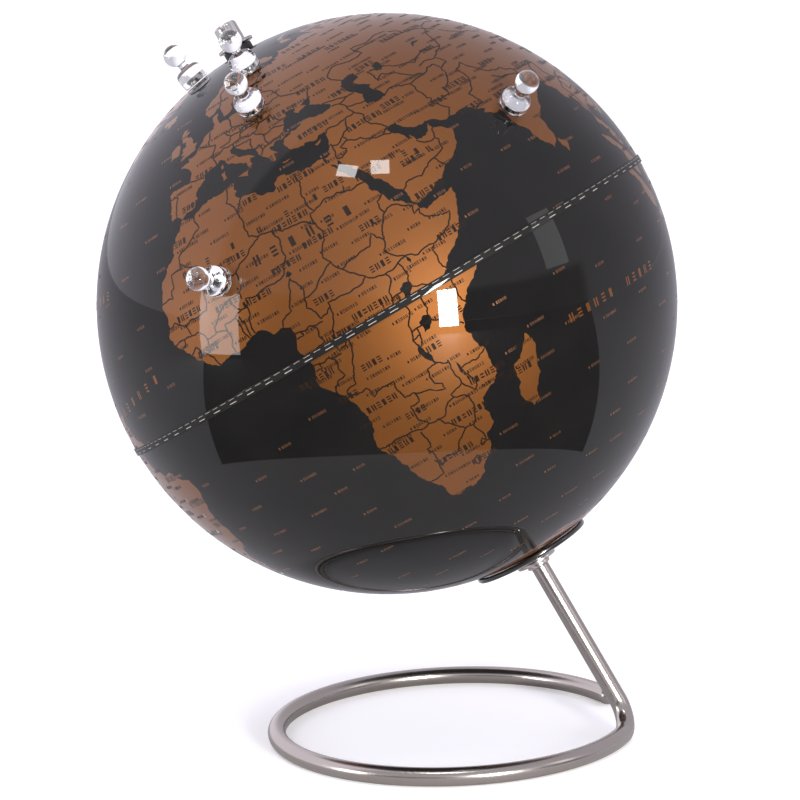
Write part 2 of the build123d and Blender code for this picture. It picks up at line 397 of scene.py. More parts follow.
# %% Europe and Asia
EURASIA = outlines("""-5.6 36,-6.4 36.8,-7.4 37.2,-8.9 37,-8.8 38.5,-9.4 38.8,-8.8 40.7,-8.9 42,-9.2 43.1,-8 43.7,
-5.5 43.5,-3.8 43.5,-1.8 43.4,-1.2 44.7,-1.1 46,-2.2 47.2,-4.6 48,-4.6 48.5,-2.8 48.8,-1.6 48.7,-1.8 49.7,
0 49.4,1.6 50.3,2.5 51.1,4 52,4.8 53,7 53.5,8.5 53.8,8.7 55.5,8.2 57,10.5 57.7,10.2 56.3,10.5 54.8,11 54,
12.4 54.3,14.2 53.9,16.5 54.5,18.6 54.6,19.8 54.5,21 55.5,21.3 57,22.6 57.7,24.2 57.2,23.6 58.8,25.5 59.6,
28 59.5,30 60,28 60.6,25 60.2,22.8 59.9,21.3 61,21.4 62.8,24 64.7,25.3 65.2,22.3 65.8,21.3 64.8,19 63.4,
17.3 61.8,17.2 60.7,18.8 59.8,17 58.6,16.4 56.8,15.9 56.1,14.3 55.5,12.8 55.5,12.7 56.5,11.3 59,10.6 59.4,
8 58.1,6.5 58.2,5.3 59.3,5 61.5,7 62.8,9.5 63.8,12 66,14.5 68,17 69,20 70,25.5 71,29 70.7,31 70.1,33 69.4,
38 68.5,41 67.2,40 66.3,35 66.5,33.2 66.6,34.8 64.5,37.5 63.9,38 64.8,40.4 64.7,40 65.8,43.5 66.3,44.2 68,
46 67.8,48 67.6,53.5 68.5,57 68.6,60.5 69.6,65 69.2,68 68.3,67 69.7,67 71.5,70 73,72.7 72.8,72 70.5,73 68,
74 67.5,74.5 69.5,74 72.5,80 72.5,81 73.6,87 75,93 76,100 76.4,104.3 77.7,110 76.5,113.5 75.7,112 74,
108 73.3,113 73.6,120 73,127 73.5,129 71,133 71.6,139.5 72.4,150 71.6,160 70,162 69.6,170 69.9,176 69.9,
180 69,185 67.5,190 66.1,187 64.8,182 65.5,180 65,177.5 64.8,179.5 62.5,174 61.8,170.3 60,163.5 59.9,163 58,
162.5 56.2,160 54.5,159.9 53.2,156.7 51,155.6 54,155.7 56.8,158 58.3,161.5 60.3,164 62.5,160 61.7,155 59.3,
151.5 59,143 59.3,137 55.5,138 54,141.2 53.2,140.5 50,140.3 48,137 45.5,132 43.2,130.6 42.3,129.7 41,
127.5 39.8,128.3 38.6,129.4 37,129.2 35.3,126.4 34.4,126.5 36.7,126.7 37.7,125 38.2,124.4 40,121.3 38.9,
121.8 40.7,119 39.2,117.8 38.8,119 37.3,122.4 37.1,120 36,119.3 35,120.8 33,121.8 31.5,121.8 29.8,120.5 27.5,
119.3 25.5,117 23.6,114.3 22.4,111 21.5,110.4 20.4,109.8 21.5,108 21.5,106.5 20.2,105.8 18.7,107.5 16.8,
109 14.5,109.3 12,107.2 10.4,105 8.7,105 10,103.5 10.7,102.5 12,101 12.8,100.6 13.5,100 12,99.3 10,100.3 8.4,
102 6.5,103.4 4.5,104.2 1.4,103.4 1.4,101 3,100.3 6,98.4 8,98.6 11,98 14,97.5 16.5,95.4 15.8,94.3 16.5,
94.3 18.7,92.3 20.8,91.7 22.6,90 21.9,88 21.7,86.9 20.6,85 19.5,82.3 16.7,80.2 15.5,80.2 13.4,79.8 10.3,
78.2 8.8,77.5 8.1,76.3 10,74.8 13,73.5 16,72.8 19,72.7 21.2,70.8 20.9,69 22.2,70.3 23,68.3 23.6,67 24.8,
66.5 25.3,62 25.2,59 25.5,57.2 26.8,55 26.7,52.6 27.4,51 28.8,50 30.1,48.6 30,47.9 29.4,48.6 28,50.1 26.6,
50.2 25.7,50.8 25,51.1 26.1,51.6 25,51.6 24.3,54 24.1,55.4 25.4,56.2 26.3,56.4 24.9,58.6 23.6,59.8 22.5,
58.7 20.5,57.7 19,56.3 17.9,55 17,52.2 15.7,49 14.2,45 12.8,43.4 12.7,42.8 15,42.5 16.7,40.8 19.5,39.1 21.4,
38.4 23.5,36.9 25.5,35.2 28,34.9 29.5,34.3 27.8,33.2 28.9,32.65 29.9,32.6 31.1,34.3 31.3,35 32.8,35.8 34.7,
36 35.9,36.1 36.8,34.5 36.7,33.8 36.1,32.5 36.1,30.7 36.8,30.3 36.3,28.3 36.7,27.3 37,26.4 38.3,26.2 39.4,
27 40.4,29 40.6,29.1 41.1,31.3 41.2,33.3 42,35.1 42,36.5 41.3,38.5 41,41 41.3,41.7 42,39 44,37.3 45,38.2 46.2,
39.2 47.1,36.5 46.6,35 46.1,36.5 45.4,35.4 45,33.6 44.5,32.6 45.4,33.5 46.1,31.5 46.6,30.7 46.4,29.7 45.1,
28.6 43.8,27.7 42.6,28.1 41.6,29 41.2,27.5 41,26.2 40.6,24.5 40.9,23.8 40.2,22.7 40.4,22.9 39.4,24 38.2,
23.1 37.4,22.6 36.6,21.6 37,21.2 38.3,20 39.5,19.4 41,19.3 41.9,17.5 43,15.3 44.2,14.2 45.2,13.6 45.7,
12.3 45.3,12.5 44.2,13.6 43.5,14.2 42.4,16.1 41.8,18.4 40.2,17 40.5,16.8 39.6,17.1 39,16 38,15.8 40,14.3 40.8,
12.3 41.7,10.3 43,9.5 44.1,8.7 44.4,7 43.6,5 43.4,3.1 43.1,3.2 41.9,0.8 40.9,-0.3 39.4,0.1 38.7,-0.8 37.6,
-2.2 36.8,-4.4 36.7""")

# %% The world's other lands
ISLANDS = outlines("""-5.2 50.1,-3.5 50.3,-1 50.7,1.3 51.2,0.6 51.5,1.7 52.7,0.2 53,-0.2 54.3,-1.6 55.6,-3 56,
-1.9 57.5,-4 57.7,-3.1 58.6,-5 58.6,-6 56.8,-4.8 55,-3.2 54.9,-3 53.6,-4.5 53.3,-4.2 52.3,-5.2 51.8,-3 51.4,
-4.3 51.1;-6.3 52.2,-10 51.7,-9.5 53.3,-10 54.2,-8 55.2,-6 55,-6 53.5;-22 64,-18.5 63.4,-14 64.7,-14.8 66.2,
-20 66,-23.5 66.3,-24 65.4;8.4 39,9.6 39.2,9.6 41.1,8.3 40.8;8.8 41.6,9.5 42.2,9.4 43,8.6 42.4;12.5 38,
15.6 38.2,15.1 36.7;23.6 35.4,26.2 35.1,25 34.9;32.4 35,34.5 35.6,33 34.6;79.8 8,80.2 9.7,81.8 7.5,80.6 6;
95.3 5.6,98 4.5,100.5 2.2,103.5 -0.8,106 -3,105.8 -5.8,103 -4.8,100.3 -1,98.7 1.8,96 4;105.3 -6.8,108 -6.4,
110.8 -6.4,114.4 -7.8,114 -8.6,109 -7.7;109 1.5,109.6 2,111.4 2.5,113 3.2,116.8 7,119 5.2,117.7 3.5,118.8 1,
117.4 0.5,116.3 -2,116 -4,114.3 -3.4,111.7 -3.3,110.1 -1.5,109 0.3;119.8 0.5,121 1.3,125 1.5,123.5 0.6,
120.5 0.5,121.3 -1,123.3 -0.9,121.6 -2,122.6 -4,121.3 -3,120.4 -5.6,119.4 -5,118.9 -2.8;131 -0.8,134 -0.8,
135 -3.3,138 -1.7,141 -2.6,144.5 -3.9,147.8 -6,147 -6.8,150.7 -10.4,147.5 -10,144.5 -7.7,143 -9.2,139 -8.1,
138 -5.5,133 -4,132.8 -2.8;120.5 18.4,122.2 18.4,121.6 15.8,124 13.5,123 13,120.6 14;122 7,123.5 8.6,
125.5 9.7,126.3 7.3,125.4 5.8,124 6.8;120.2 23,121.5 25.2,121 22;108.7 19.3,111 19.8,109.5 18.3;130 33.6,
131 34.1,133 35.5,136 36,137.3 37.4,139 38,140 40,141 41.4,142 39.5,140.9 37.5,140.5 35.5,138.5 34.7,136 33.6,
135 34.5,132.3 33.8,131.8 32,130.7 31.2,129.8 32.7;140 41.6,140.4 43.3,141.8 45.4,143.8 44.2,145.3 43.3,
143.2 42,141 42.5;142 46,142 50,142.8 54.2,143.3 52,144.5 49,142.8 47;52 71,54 73,58 75.5,66 77,68.5 76.8,
60 75,56 73,57.5 70.7;95 79.5,100 81,105 79,100 78;11 79.5,16 76.6,18 78,25 80,17 80;172.7 -34.4,175.3 -36.5,
178.5 -37.7,177 -39.5,175.3 -41.6,173.8 -39.3,174.8 -37.8;172.7 -40.5,174.3 -41.7,172.7 -43.7,170.7 -45.9,
168.4 -46.6,166.5 -45.9,168.5 -44,171.3 -42;144.7 -40.8,148.2 -41,147.8 -43.2,146 -43.5;113.7 -22.6,114 -26,
115.7 -31.8,115 -34.2,118 -35,123.5 -33.9,126 -32.3,131 -31.5,134 -32.8,135.6 -34.9,137.8 -32.8,138 -35.6,
139.7 -36.9,141 -38.2,144.5 -38.2,146.3 -39,150 -37.5,151.3 -33.8,153 -31,153.5 -28,153 -25.3,151 -23.5,
149 -20.8,146.5 -19,145.4 -15,143.7 -14.4,142.5 -10.8,141.6 -13,141 -17,139.5 -17.6,136 -15.5,136.8 -12.2,
133 -11.6,130.9 -12.5,129.5 -15,127 -14,124.5 -16,122.2 -18,119 -20,116 -21""")
AMERICAS = outlines("""-168 65.6,-162 66.5,-166.5 68.3,-156.6 71.3,-141 69.7,-135 69,-128 70,-124 69.5,-115 68.5,
-108 68,-98 67.8,-94.5 69.5,-94 71.8,-92.5 69.7,-90.5 68.5,-88 68.3,-85.5 69.5,-82 69.8,-81.5 68,-86 66.5,
-87 64.8,-93 62,-94.7 59,-92.5 57.2,-88 56.5,-82.3 55,-82 53,-80 51.3,-78.7 52.5,-79.5 54.7,-77 56.5,-78 59,
-77.5 62.3,-73.5 62.2,-70 61,-69.7 59,-66 58.8,-64.5 60.3,-61.8 57,-59 54.8,-56 52.5,-57 51.5,-60 50.2,-66 50.2,
-69 48.5,-65 49,-64.5 47,-61.5 45.8,-60.5 46.5,-61 45.2,-65.5 43.5,-66 44.5,-64.8 45.4,-67 44.8,-70 43.7,
-70.7 42,-70 41.7,-74 40.6,-75.5 38.5,-76 37,-75.7 35.3,-78 34,-81 32,-81.4 30,-80.1 27,-80.5 25.2,-81.8 26,
-82.8 28,-84 30,-86 30.4,-89.5 30.2,-89.3 29.2,-91.5 29.5,-94.7 29.4,-97.3 27.6,-97.7 24,-97.2 21,-95 18.5,
-91.5 18.5,-90.4 21,-87 21.5,-87.7 18.5,-88.7 15.9,-86 15.9,-83.3 15,-83.7 11.5,-82.2 9.1,-79.7 9.5,-77.5 8.6,
-76.5 8,-75.5 10.7,-72 12,-71.5 10.9,-70 12,-68 10.6,-62 10.7,-60.5 8.5,-57 6,-52 4.7,-50 0.8,-48.5 -0.8,
-44.3 -2.7,-40 -2.8,-35.3 -5.2,-34.9 -8,-37 -11.5,-39 -14,-39 -17.5,-41 -22,-44.7 -23.2,-48.5 -26,-48.8 -28.5,
-52 -33,-54.9 -34.9,-58.4 -34,-57 -36.5,-57.6 -38.2,-62 -39,-62.4 -40.8,-65 -41,-63.7 -42.6,-65.4 -45,
-67.5 -46.3,-65.8 -47.5,-69 -50.5,-68.4 -52.4,-65.5 -54.8,-69 -55.4,-74 -52.8,-75.6 -48,-74 -44,-73.7 -41.8,
-73.5 -39.5,-73.3 -37,-71.5 -33,-71.4 -29.5,-70.3 -25,-70.1 -20,-71.5 -17.5,-76.2 -13.8,-79 -8,-81.2 -6,
-80.3 -3.4,-80 -2.4,-80.9 -2,-80 0.5,-78.8 1.5,-77.2 4,-77.9 7.3,-78.4 8.2,-80 8.3,-80.3 7.3,-82.8 8.2,
-85.8 10.3,-87.6 12.9,-91.5 14,-94.5 16.2,-99.5 16.7,-105.5 20,-105.4 21.6,-108.5 25,-112.2 29,-114.8 31.7,
-112.5 27.5,-109.5 23.1,-112 25,-114 27.2,-115.8 30,-117.2 32.7,-120.6 34.6,-122.5 37.5,-124.3 40.3,-124 44,
-124.6 48.3,-122.5 47.5,-123 49,-127.5 51,-130.3 54.5,-134 58,-139 59.7,-144 60,-148 60.7,-151.5 59.3,-151 61,
-154 59,-158 56.5,-164 54.7,-160 56,-157.5 58.7,-162 58.8,-165 61,-164.5 63,-161 64.4,-166.5 64.6;-73 78.2,
-68 80,-60 82,-45 82.5,-32 83.6,-22 82.5,-18 80,-20 75,-22 72,-22 70.2,-27 68.5,-35 66,-40 65,-43 60,-48 61,
-52 65,-54 68,-51 70,-55 72,-59 75.7,-68 76;-62 66,-68 63,-65 62,-71 62.8,-78 64.5,-73 67,-73 68,-80 70,-86 70,
-90 72.5,-85 73.7,-78 72.8,-70 71,-66.5 68.5;-117 69,-105 69,-102 71,-106 73,-117 73,-118 71;-90 76.5,-78 76.3,
-75 79,-62 82.3,-70 83,-90 81.5,-92 79;-125 72,-117 75,-122 71.2;-59 47.7,-56 47,-53 46.7,-53 48.5,-56 51.5,
-58 49;-85 22,-80 23,-74.2 20.2,-77.5 19.9,-82 22;-74.4 18.4,-73 19.9,-68.5 18.7,-71 18""")
ANTARCTICA = outlines("""-180 -78,-160 -77.5,-150 -77,-130 -74.5,-103 -74,-90 -73,-75 -73,-68 -70,-65 -66,
-58 -63.3,-61 -66,-62 -72,-77 -76,-60 -77,-50 -78,-35 -77.5,-20 -73.5,-5 -71,15 -70,35 -69.3,50 -66.6,60 -67.5,
70 -69,80 -68,95 -66.5,115 -66.6,135 -66.2,150 -68.5,165 -71,170 -72,163 -78,180 -78""")

# %% Lakes, which turn land back into sea
LAKES = outlines("""47 45,49 46.5,53 46.8,53 45,51 44.5,50.3 44.3,52.5 42.5,53.7 41.7,52.8 41.2,53.8 39,54 37,
51 36.7,49 37.5,48.9 38.5,50 40.3,49.3 41,47.6 43,47.5 44.3;58.3 44,58.5 46,61 46.5,61 44.5,59.5 43.6;
31.8 -2.5,31.7 -0.5,33 0.3,34.2 -0.2,33.9 -1.5,33 -2.4;29.2 -3.4,29.7 -4.5,31 -8.6,30.4 -8.4,29.1 -6;
33.9 -9.6,34.6 -11.5,34.4 -12.5,35.2 -14.2,34.6 -14,34 -12;13.5 13,14.5 14,15 13,14.3 12.7;36 4.5,36.5 3.5,
36.2 2.5,35.8 4;30.5 1.2,31.3 2.2,31.2 1.7;31.5 22,32.9 24,32.5 22.5;104 51.5,107 52.6,109.8 55.6,109 53.8,
106 51.8;74 45,75 46.6,79 46.5,75.5 46;30.5 60.5,31 61.6,33 61,32 60.1;-92 46.7,-88 48.8,-84.8 46.8,-88 46.9;
-87.8 42,-87 45.5,-84.5 46,-80.5 45.8,-80 44.6,-82.4 43.2,-83.5 45.3,-85 45.5,-86.3 43.5,-86.8 41.8;
-83.2 41.9,-79 42.8,-76.5 44,-79.7 43.3;-98.5 53.5,-96.5 50.5,-97.5 51;-116 61,-110 62.7,-113 61.3;
-124 65.5,-120 67,-119 65.7""")

# %% Borders, as open lines
BORDERS = outlines("""-2.2 35.1,-1.7 33.5,-1.2 32.2,-3.5 31,-5.5 29.8,-8.7 28.7,-8.7 26,-12 26,-12 23.4,-13 23,
-13.1 21.3,-17 21.3;-8.7 27.3,-4.8 25,1.1 21.1,1.8 20.3,3.3 19,4.2 19.2,7.5 20.9,12 23.5;8.6 36.9,8.2 34.7,
7.5 33.8,9.1 32.1,9.5 30.2,9.9 28.5,9.7 26.5,10 24.5,12 23.5;11.5 33.1,10.3 31.7,9.5 30.2;12 23.5,15 23,24 19.5;
25 31.6,25 22,24 22,24 19.5,24 15.7,22.5 14,22 12.6,23 11;25 22,36.9 22;-4.8 25,-6.5 25,-5.5 15.5,-10.5 15.4,
-12 14.8,-14.5 16.6,-16.5 16;-12 14.8,-11.4 12.5,-13.7 12.6,-16.7 12.4;-11.4 12.5,-9.3 12.4,-8 10.3,-8.3 8,
-9.3 7.5,-8.3 6.4,-7.5 4.4;-15 11,-13.7 11.7,-13.7 12.6;-13.3 9,-11.5 10,-10.7 8.5,-11.4 7;-10.7 8.5,-9.3 7.5;
-8 10.3,-6 10.2,-5.3 10.4,-2.8 9.7,-2.5 8.2,-3.2 6.3,-3 5.1;-2.8 9.7,-2.8 11,0 11.1,0.5 8.5,1.2 6.1;-5.3 10.4,
-5.2 11.7,-3.3 13.3,-2 14.2,0.2 15,3.5 15.4,4.2 16.5,4.2 19.2;0.2 15,1 13.3,2.3 11.9,0 11.1;0.9 11,1.6 9,1.7 6.3;
3.6 11.7,2.7 9,2.7 6.4;2.3 11.9,3.6 11.7,4 13.5,7 13,10 13.3,13.5 13.7;14.2 12.5,13.2 10.2,11.5 6.6,9 5.8,
8.5 4.7;13.5 13.7,15.5 16.9,15.9 20.4,15 23;14.2 12.5,15 11,15.5 9.9,15 7.5,18 8,19 9,21.7 10.7,23 11,24.2 8.7,
27.4 5.1;15 7.5,14.5 5.5,16 2.3,18.6 3.5,18.6 4.4,22.4 4.1,27.4 5.1,30.9 3.5;9.8 2.3,13.3 2.2,16 1.7;9.8 1.1,
11.3 1.1,11.3 2.3;13.3 2.2,14.3 1.3,13.9 -0.5,14.4 -1.9,12.5 -2.3,11.1 -3.9;18.6 3.5,17.8 0.5,16.2 -2.1,
15.3 -4.3,13.1 -4.6,12.7 -5.7;12.3 -5.9,16.5 -5.9,17 -8,21.8 -7.3,22 -11,24 -11,24 -13,22 -13,22 -16.2,
23.3 -17.6;11.8 -17.3,14 -17.4,18.5 -17.4,21.4 -18,23.3 -17.6,25.3 -17.8;21 -18.3,21 -22,20 -22,20 -28.4,
17.4 -28.7,16.5 -28.6;20 -24.8,20.8 -26.8,22.7 -25.3,25.6 -25.6,27 -23.7,29.4 -22.2,31.3 -22.4;25.3 -17.8,
27.7 -20.5,29.4 -22.2;25.3 -17.8,27 -17.9,28.9 -15.9,30.4 -15.6,33 -16.7,32.8 -20,31.3 -22.4,32 -24.5,32 -26.8,
32.9 -26.8;30.8 -26.8,31.5 -25.8,32.1 -26.8,31 -27.3,30.8 -26.8;27 -29.6,28.6 -28.6,29.4 -29.4,28.2 -30.6,
27 -29.6;30.4 -15.6,30.2 -14.9,33.2 -14,32.8 -12,33 -9.4;33.2 -14,35 -16.5,35.7 -16,35.8 -14.5,34.6 -12,
34.5 -11.5,37.8 -11.6,40.4 -10.5;33 -9.4,30.8 -8.3,29.3 -6,29.2 -3.3,29 -2.7,29.6 -1.4,29.7 0,31.3 2.2,30.9 3.5;
24 -11,27 -12,29.8 -13.4,29.8 -12.2,28.5 -11.5,28.7 -8.5,30.8 -8.3;30.9 3.5,34 4.2,35.9 4.7,38.1 3.6,41.9 3.9,
41 2.8,41 -0.8,41.6 -1.7;34 4.2,34.5 1,33.9 0,33.9 -1,37.7 -3.3,39.2 -4.7;29.6 -1.4,30.8 -1.1,33.9 -1;
30.8 -1.1,30.8 -2.4,30 -4.3,29.4 -4.4;29 -2.7,30.8 -2.4;41.9 3.9,45 5,48 8,44 9,42.8 10.5,43.2 11.5;36 4.4,
33 7.8,34 9.5,34.3 10.6,36.2 13.5,37 14.3,37.9 14.8,40 14.5,42.3 12.6;37 14.3,36.9 17,38.5 18;24.2 8.7,27 9.6,
31 9.8,32.5 12,33 10.7,34.1 9.5;42.4 12.5,41.8 11,43.2 11.5;42.8 16.4,44 17.4,47.5 17,52 19,55 20,55.7 22,
55.2 22.7,52.6 22.9,51.5 24.2;52 19,53.1 16.7;55.2 22.7,55.8 24.2,56.4 24.9;35 29.4,36 29.2,38 30.5,37 31.5,
39.2 32.1,42 31.1,44.7 29.2,46.5 29.1,47.7 28.5,48.4 28.5;46.5 29.1,47.9 30;35 29.5,35.5 31.5,35.6 33.2,
35.1 33.1;35.6 32.7,36.8 32.3,38.8 33.4,39.2 32.1;38.8 33.4,41 34.4,42.3 37.1,36.7 36.8,36 36;42.3 37.1,
44.8 37.2,46.2 35.5,45.5 34,47.7 31.5,48.5 30;44.8 37.2,44.4 39.5,43.5 41.1,41.5 41.5;44.4 39.5,46.5 38.9,
48.9 38.4;54 37.4,57 38.2,61.2 36.6,60.8 34,61 31.5,61.8 31,60.9 29.8,63.3 27,61.6 25.2;40 43.4,44 42.6,
46.5 41.8,48.5 41.8;43.5 41.1,45 41.3,46.5 41.8;60.9 29.8,66.3 29.9,66.5 31.5,69.5 33,71 34.5,71.6 36.4,
74.8 37.2;61.2 36.6,64.5 37,67 37.3,71 38.4,71.6 36.7;56 41.3,58.5 42.7,62 40,66.5 37.4;56 41.3,56 45,61 44.3,
66 42,68 41,71 42.3,74 43,80 42.1;67.8 39.5,70.5 40.2,73.8 39.6;74.8 37.2,73.8 39.6,80.2 42.1,82.5 45.3,
87.3 49.1,91 45.2,96.5 42.8,105 41.6,111.8 43.7,119.8 46.7,116 48,117 49.6,107 49.8,102 51.3,98.9 52,98 50.5,
92 50.7,87.3 49.1;117 49.6,120 53,125.5 53,130.6 48.8,135 48.4,131 45,130.6 42.5;124.4 40,130.6 42.4;49 46.4,
47 48.2,46.8 49.5,51 51.6,55 50.8,61.5 51,61 54,71 54.2,76.5 54.3,80 50.8,87.3 49.1;68.2 23.7,71 24.5,70 27.5,
73.5 30,74.6 32.5,74 34,77.5 35.5,79 32.5,81 30.2,88 27.9,92 27.5,97.3 28.2;80.1 28.8,84 27.4,88.1 26.4,
88.1 27.9;89 22,88.2 24.6,88.5 26.3,89.8 25.3,92.4 25,91.3 23.7,92.6 21.5,93.3 24,95 26.6,97.3 28.2,98.7 27,
97.6 24,99.2 22.1,101.1 21.6,100 20.4,97.8 18.5,98.9 16,99.2 12,98.8 10;101.1 21.6,102.1 22.4,105.4 23.3,
108 21.6;100 20.4,101 17.5,104 18.3,104.8 16,105.5 14.3,102.5 13.6,102.9 11.7;102.1 22.4,103 20.8,105 19,
107.5 15,107.5 12.5,105.9 11.5,104.5 10.4;-8.8 41.9,-6.3 41.6,-7 40,-7.3 38,-7.4 37.2;-1.8 43.4,3.1 42.4;
7.5 43.8,7 45.9,6.2 46.3,7.6 47.6,8.2 49,6.3 49.5,4.2 50,2.5 51;7 53.3,6.7 51.9,6 50.8,6.3 49.5;7 45.9,9 46,
10.5 46.8,13.7 46.5,13.6 45.7;9.6 47.5,13 47.6,13.8 48.8,12.2 50.3,14.8 51,14.3 53.9;14.8 51,18.8 49.5,
22.5 49.1,24 50.6,23.6 52.6,23.5 54,19.8 54.4;13.8 48.8,17 48.6,18.8 49.5;17 48.6,16.2 46.9,13.7 46.5;17 48,
22.2 48.4,22.9 48,21.3 46.2,18.8 45.9,16.2 46.9;23.5 54,26.6 55.7,28.2 56.2,27.5 59.4;21 56,26.6 55.7;
24.4 57.9,27.4 57.5;28.2 56.2,31 54.7,31.8 52.1,23.6 51.5;31.8 52.1,35.5 50.4,40 49.6,38.3 47.2;22.9 48,
26.6 48.3,28.2 45.5,29.7 45.2;22.7 44.2,28.6 43.8;20.3 46.1,22.7 44.2,22.4 42.3,23 41.3,26.3 41.7,26.1 40.8;
26.3 41.7,28 42;20 39.7,21 40.9,23 41.3;19.4 41.9,20.5 42.5,21 40.9;13.6 45.5,16 45.2,19 45,18.5 42.5;28 60.6,
31.5 62.9,29.8 66,28.5 68.5,30.8 69.7;24.1 65.8,23.6 68,20.5 69,16 67,12.2 63,12 60,11.2 59;-123 49,-95.2 49,
-89 48,-84.5 46.5,-82.5 43,-79 43,-75 45,-71 45.2,-69 47.4,-67.8 46,-67 45;-141 69.7,-141 60.3,-135 59,
-130 55.5;-117.1 32.5,-114.8 32.5,-111 31.3,-106.5 31.8,-103 29,-101 29.8,-99.2 26.5,-97.2 25.9;-92.2 14.5,
-90.5 17.8,-89 17.9;-71.3 11.9,-72.5 9,-72 7,-67.5 6.2,-67 1.2,-64 1,-63 4,-60 5.2,-59.9 1.5,-56 2.2,-52.9 2.2,
-51.7 4.2;-60 8,-60 5.2;-57.2 5.9,-57.5 3,-56 2.2;-67 1.2,-70 0,-69.9 -4.2,-72.9 -2.4,-75.3 -0.1,-78.9 1.4;
-75.3 -0.1,-78 -3.5,-80.3 -3.4;-69.9 -4.2,-73 -5,-73 -9.4,-70.6 -11,-69 -12.5,-69 -15.3,-69.5 -17.5,-70.3 -18.4;
-70.6 -11,-65.4 -9.8,-65 -12,-60.2 -13.8,-58.2 -17,-58 -20,-62.3 -20.5,-62.6 -22.2,-57.6 -25.4,-54.6 -25.6,
-54.3 -24,-55.8 -22.3,-58 -20;-62.6 -22.2,-67 -22.8,-68.5 -20,-69.5 -17.5;-67 -22.8,-68.5 -25,-70 -31,-71 -36,
-71.8 -43,-72.5 -49,-72 -52,-68.4 -52.4;-54.6 -25.6,-53.8 -27,-57.6 -30.2,-58.4 -33.9;-57.6 -30.2,-53.4 -33.7""")

# %% [markdown]
# ## Two printed half shells
# The globe is two pressed steel halves that meet at the equator, each printed flat and drawn
# to shape. A ball with a picture wrapped round it would blur the coasts, so here the coast is
# cut into the mesh itself. Each half is laid flat on a chart centred on its pole, the
# outlines are fed to a constrained Delaunay triangulation as edges it must keep, and the flat
# net is bent back onto the sphere. Every triangle is then wholly land or wholly sea and takes
# the matching ink, sharp at any distance. A drawn print never registers perfectly: the inks
# of both halves have slid a few degrees away from the seam, and a little round the axis.

# %% Where a place on the map lies on the globe
LONGITUDE_OF_X = 103.3
SOUTH_SLIP, NORTH_SLIP, TWIST = 3.9, 2.9, 3.7
NO_SLIP_NORTH, TWIST_NODE = 29, 12


def printed_latitude(latitude, south):
    """Where the ink of a latitude landed, in degrees."""
    if south:
        return latitude - SOUTH_SLIP * (1 + (latitude / 90) ** 3)
    return latitude + NORTH_SLIP * (1 - latitude / NO_SLIP_NORTH) * (1 - (latitude / 90) ** 3)


def turn_of(longitude):
    """The angle about the polar axis where the ink of a longitude landed."""
    slip = TWIST * math.sin(math.radians(longitude - TWIST_NODE))
    return math.radians(longitude - slip - LONGITUDE_OF_X)


def on_ball(turn, height):
    """The place on the ball at a turn about the axis and a height over the equator, as angles."""
    across = math.cos(height)
    return Vector((across * math.cos(turn), across * math.sin(turn), math.sin(height))) * GLOBE_RADIUS


def on_chart(longitude, latitude, south):
    """Degrees from the pole, laid flat in the direction of the longitude."""
    out = 90 + printed_latitude(latitude, True) if south else 90 - printed_latitude(latitude, False)
    return out * math.cos(turn_of(longitude)), out * math.sin(turn_of(longitude))


# %% Coasts get their wriggle
LEAST_SQUEEZE = 0.05


def halve(start, end, dice, longest, wriggle):
    """The places between two capes, each halving nudged aside."""
    squeeze = math.cos(math.radians((start[1] + end[1]) / 2))
    run, rise = (end[0] - start[0]) * squeeze, end[1] - start[1]
    length = math.hypot(run, rise)
    if length <= longest:
        return []
    nudge = dice.uniform(-wriggle, wriggle)
    middle = ((start[0] + end[0]) / 2 - nudge * rise / max(squeeze, LEAST_SQUEEZE),
              (start[1] + end[1]) / 2 + nudge * run)
    return halve(start, middle, dice, longest, wriggle) + [middle] + halve(middle, end, dice, longest, wriggle)


def wriggled(line, dice, longest, wriggle, closed):
    """A line with the places between its capes filled in, until no stretch is too long."""
    ends = line[1:] + line[:1] if closed else line[1:]
    result = []
    for start, end in zip(line, ends):
        result += [start, *halve(start, end, dice, longest, wriggle)]
    return result if closed else result + [line[-1]]


dice = random.Random(7)
coasts = [wriggled(line, dice, 0.7, 0.17, True) for line in AFRICA + EURASIA + ISLANDS + AMERICAS]
coasts += [wriggled(line, dice, 1.5, 0.1, False) for line in ANTARCTICA]
coasts += [wriggled(line, dice, 0.7, 0.15, True) for line in LAKES]
print(sum(len(coast) for coast in coasts), "places along the coasts")


# %% Inside or outside an outline
def inside_any(places, rings):
    """True where a place is inside an odd number of the rings, as land is and a lake is not."""
    inside = np.zeros(len(places), bool)
    for ring in rings:
        near = np.all((places > ring.min(0)) & (places < ring.max(0)), axis=1)
        spot = places[near]
        start, end = ring, np.roll(ring, -1, axis=0)
        crossed = np.zeros(len(spot), bool)
        for (x0, y0), (x1, y1) in zip(start, end):
            if y0 != y1:
                straddles = (y0 > spot[:, 1]) != (y1 > spot[:, 1])
                crossed ^= straddles & (spot[:, 0] < (x1 - x0) * (spot[:, 1] - y0) / (y1 - y0) + x0)
        inside[near] ^= crossed
    return inside


# %% Cutting one half's chart into triangles
POLE_EDGE = math.degrees(math.asin(POLE_HOLE / GLOBE_RADIUS))
RIM_STEPS, HOLE_STEPS = 360, 48
CHART_REACH = 92
HOOP_SPACING, HOOP_STEPS = 2, 180


def spokes(steps):
    """Directions evenly round a circle."""
    return [(math.cos(math.tau * i / steps), math.sin(math.tau * i / steps)) for i in range(steps)]


def circle_on_chart(out, steps):
    return [(out * x, out * y) for x, y in spokes(steps)]


def within(places, out, steps):
    """True inside the regular polygon that stands for a circle."""
    part = math.tau / steps
    turn = np.arctan2(places[:, 1], places[:, 0]) % part - part / 2
    return np.hypot(places[:, 0], places[:, 1]) * np.cos(turn) < out * math.cos(part / 2)


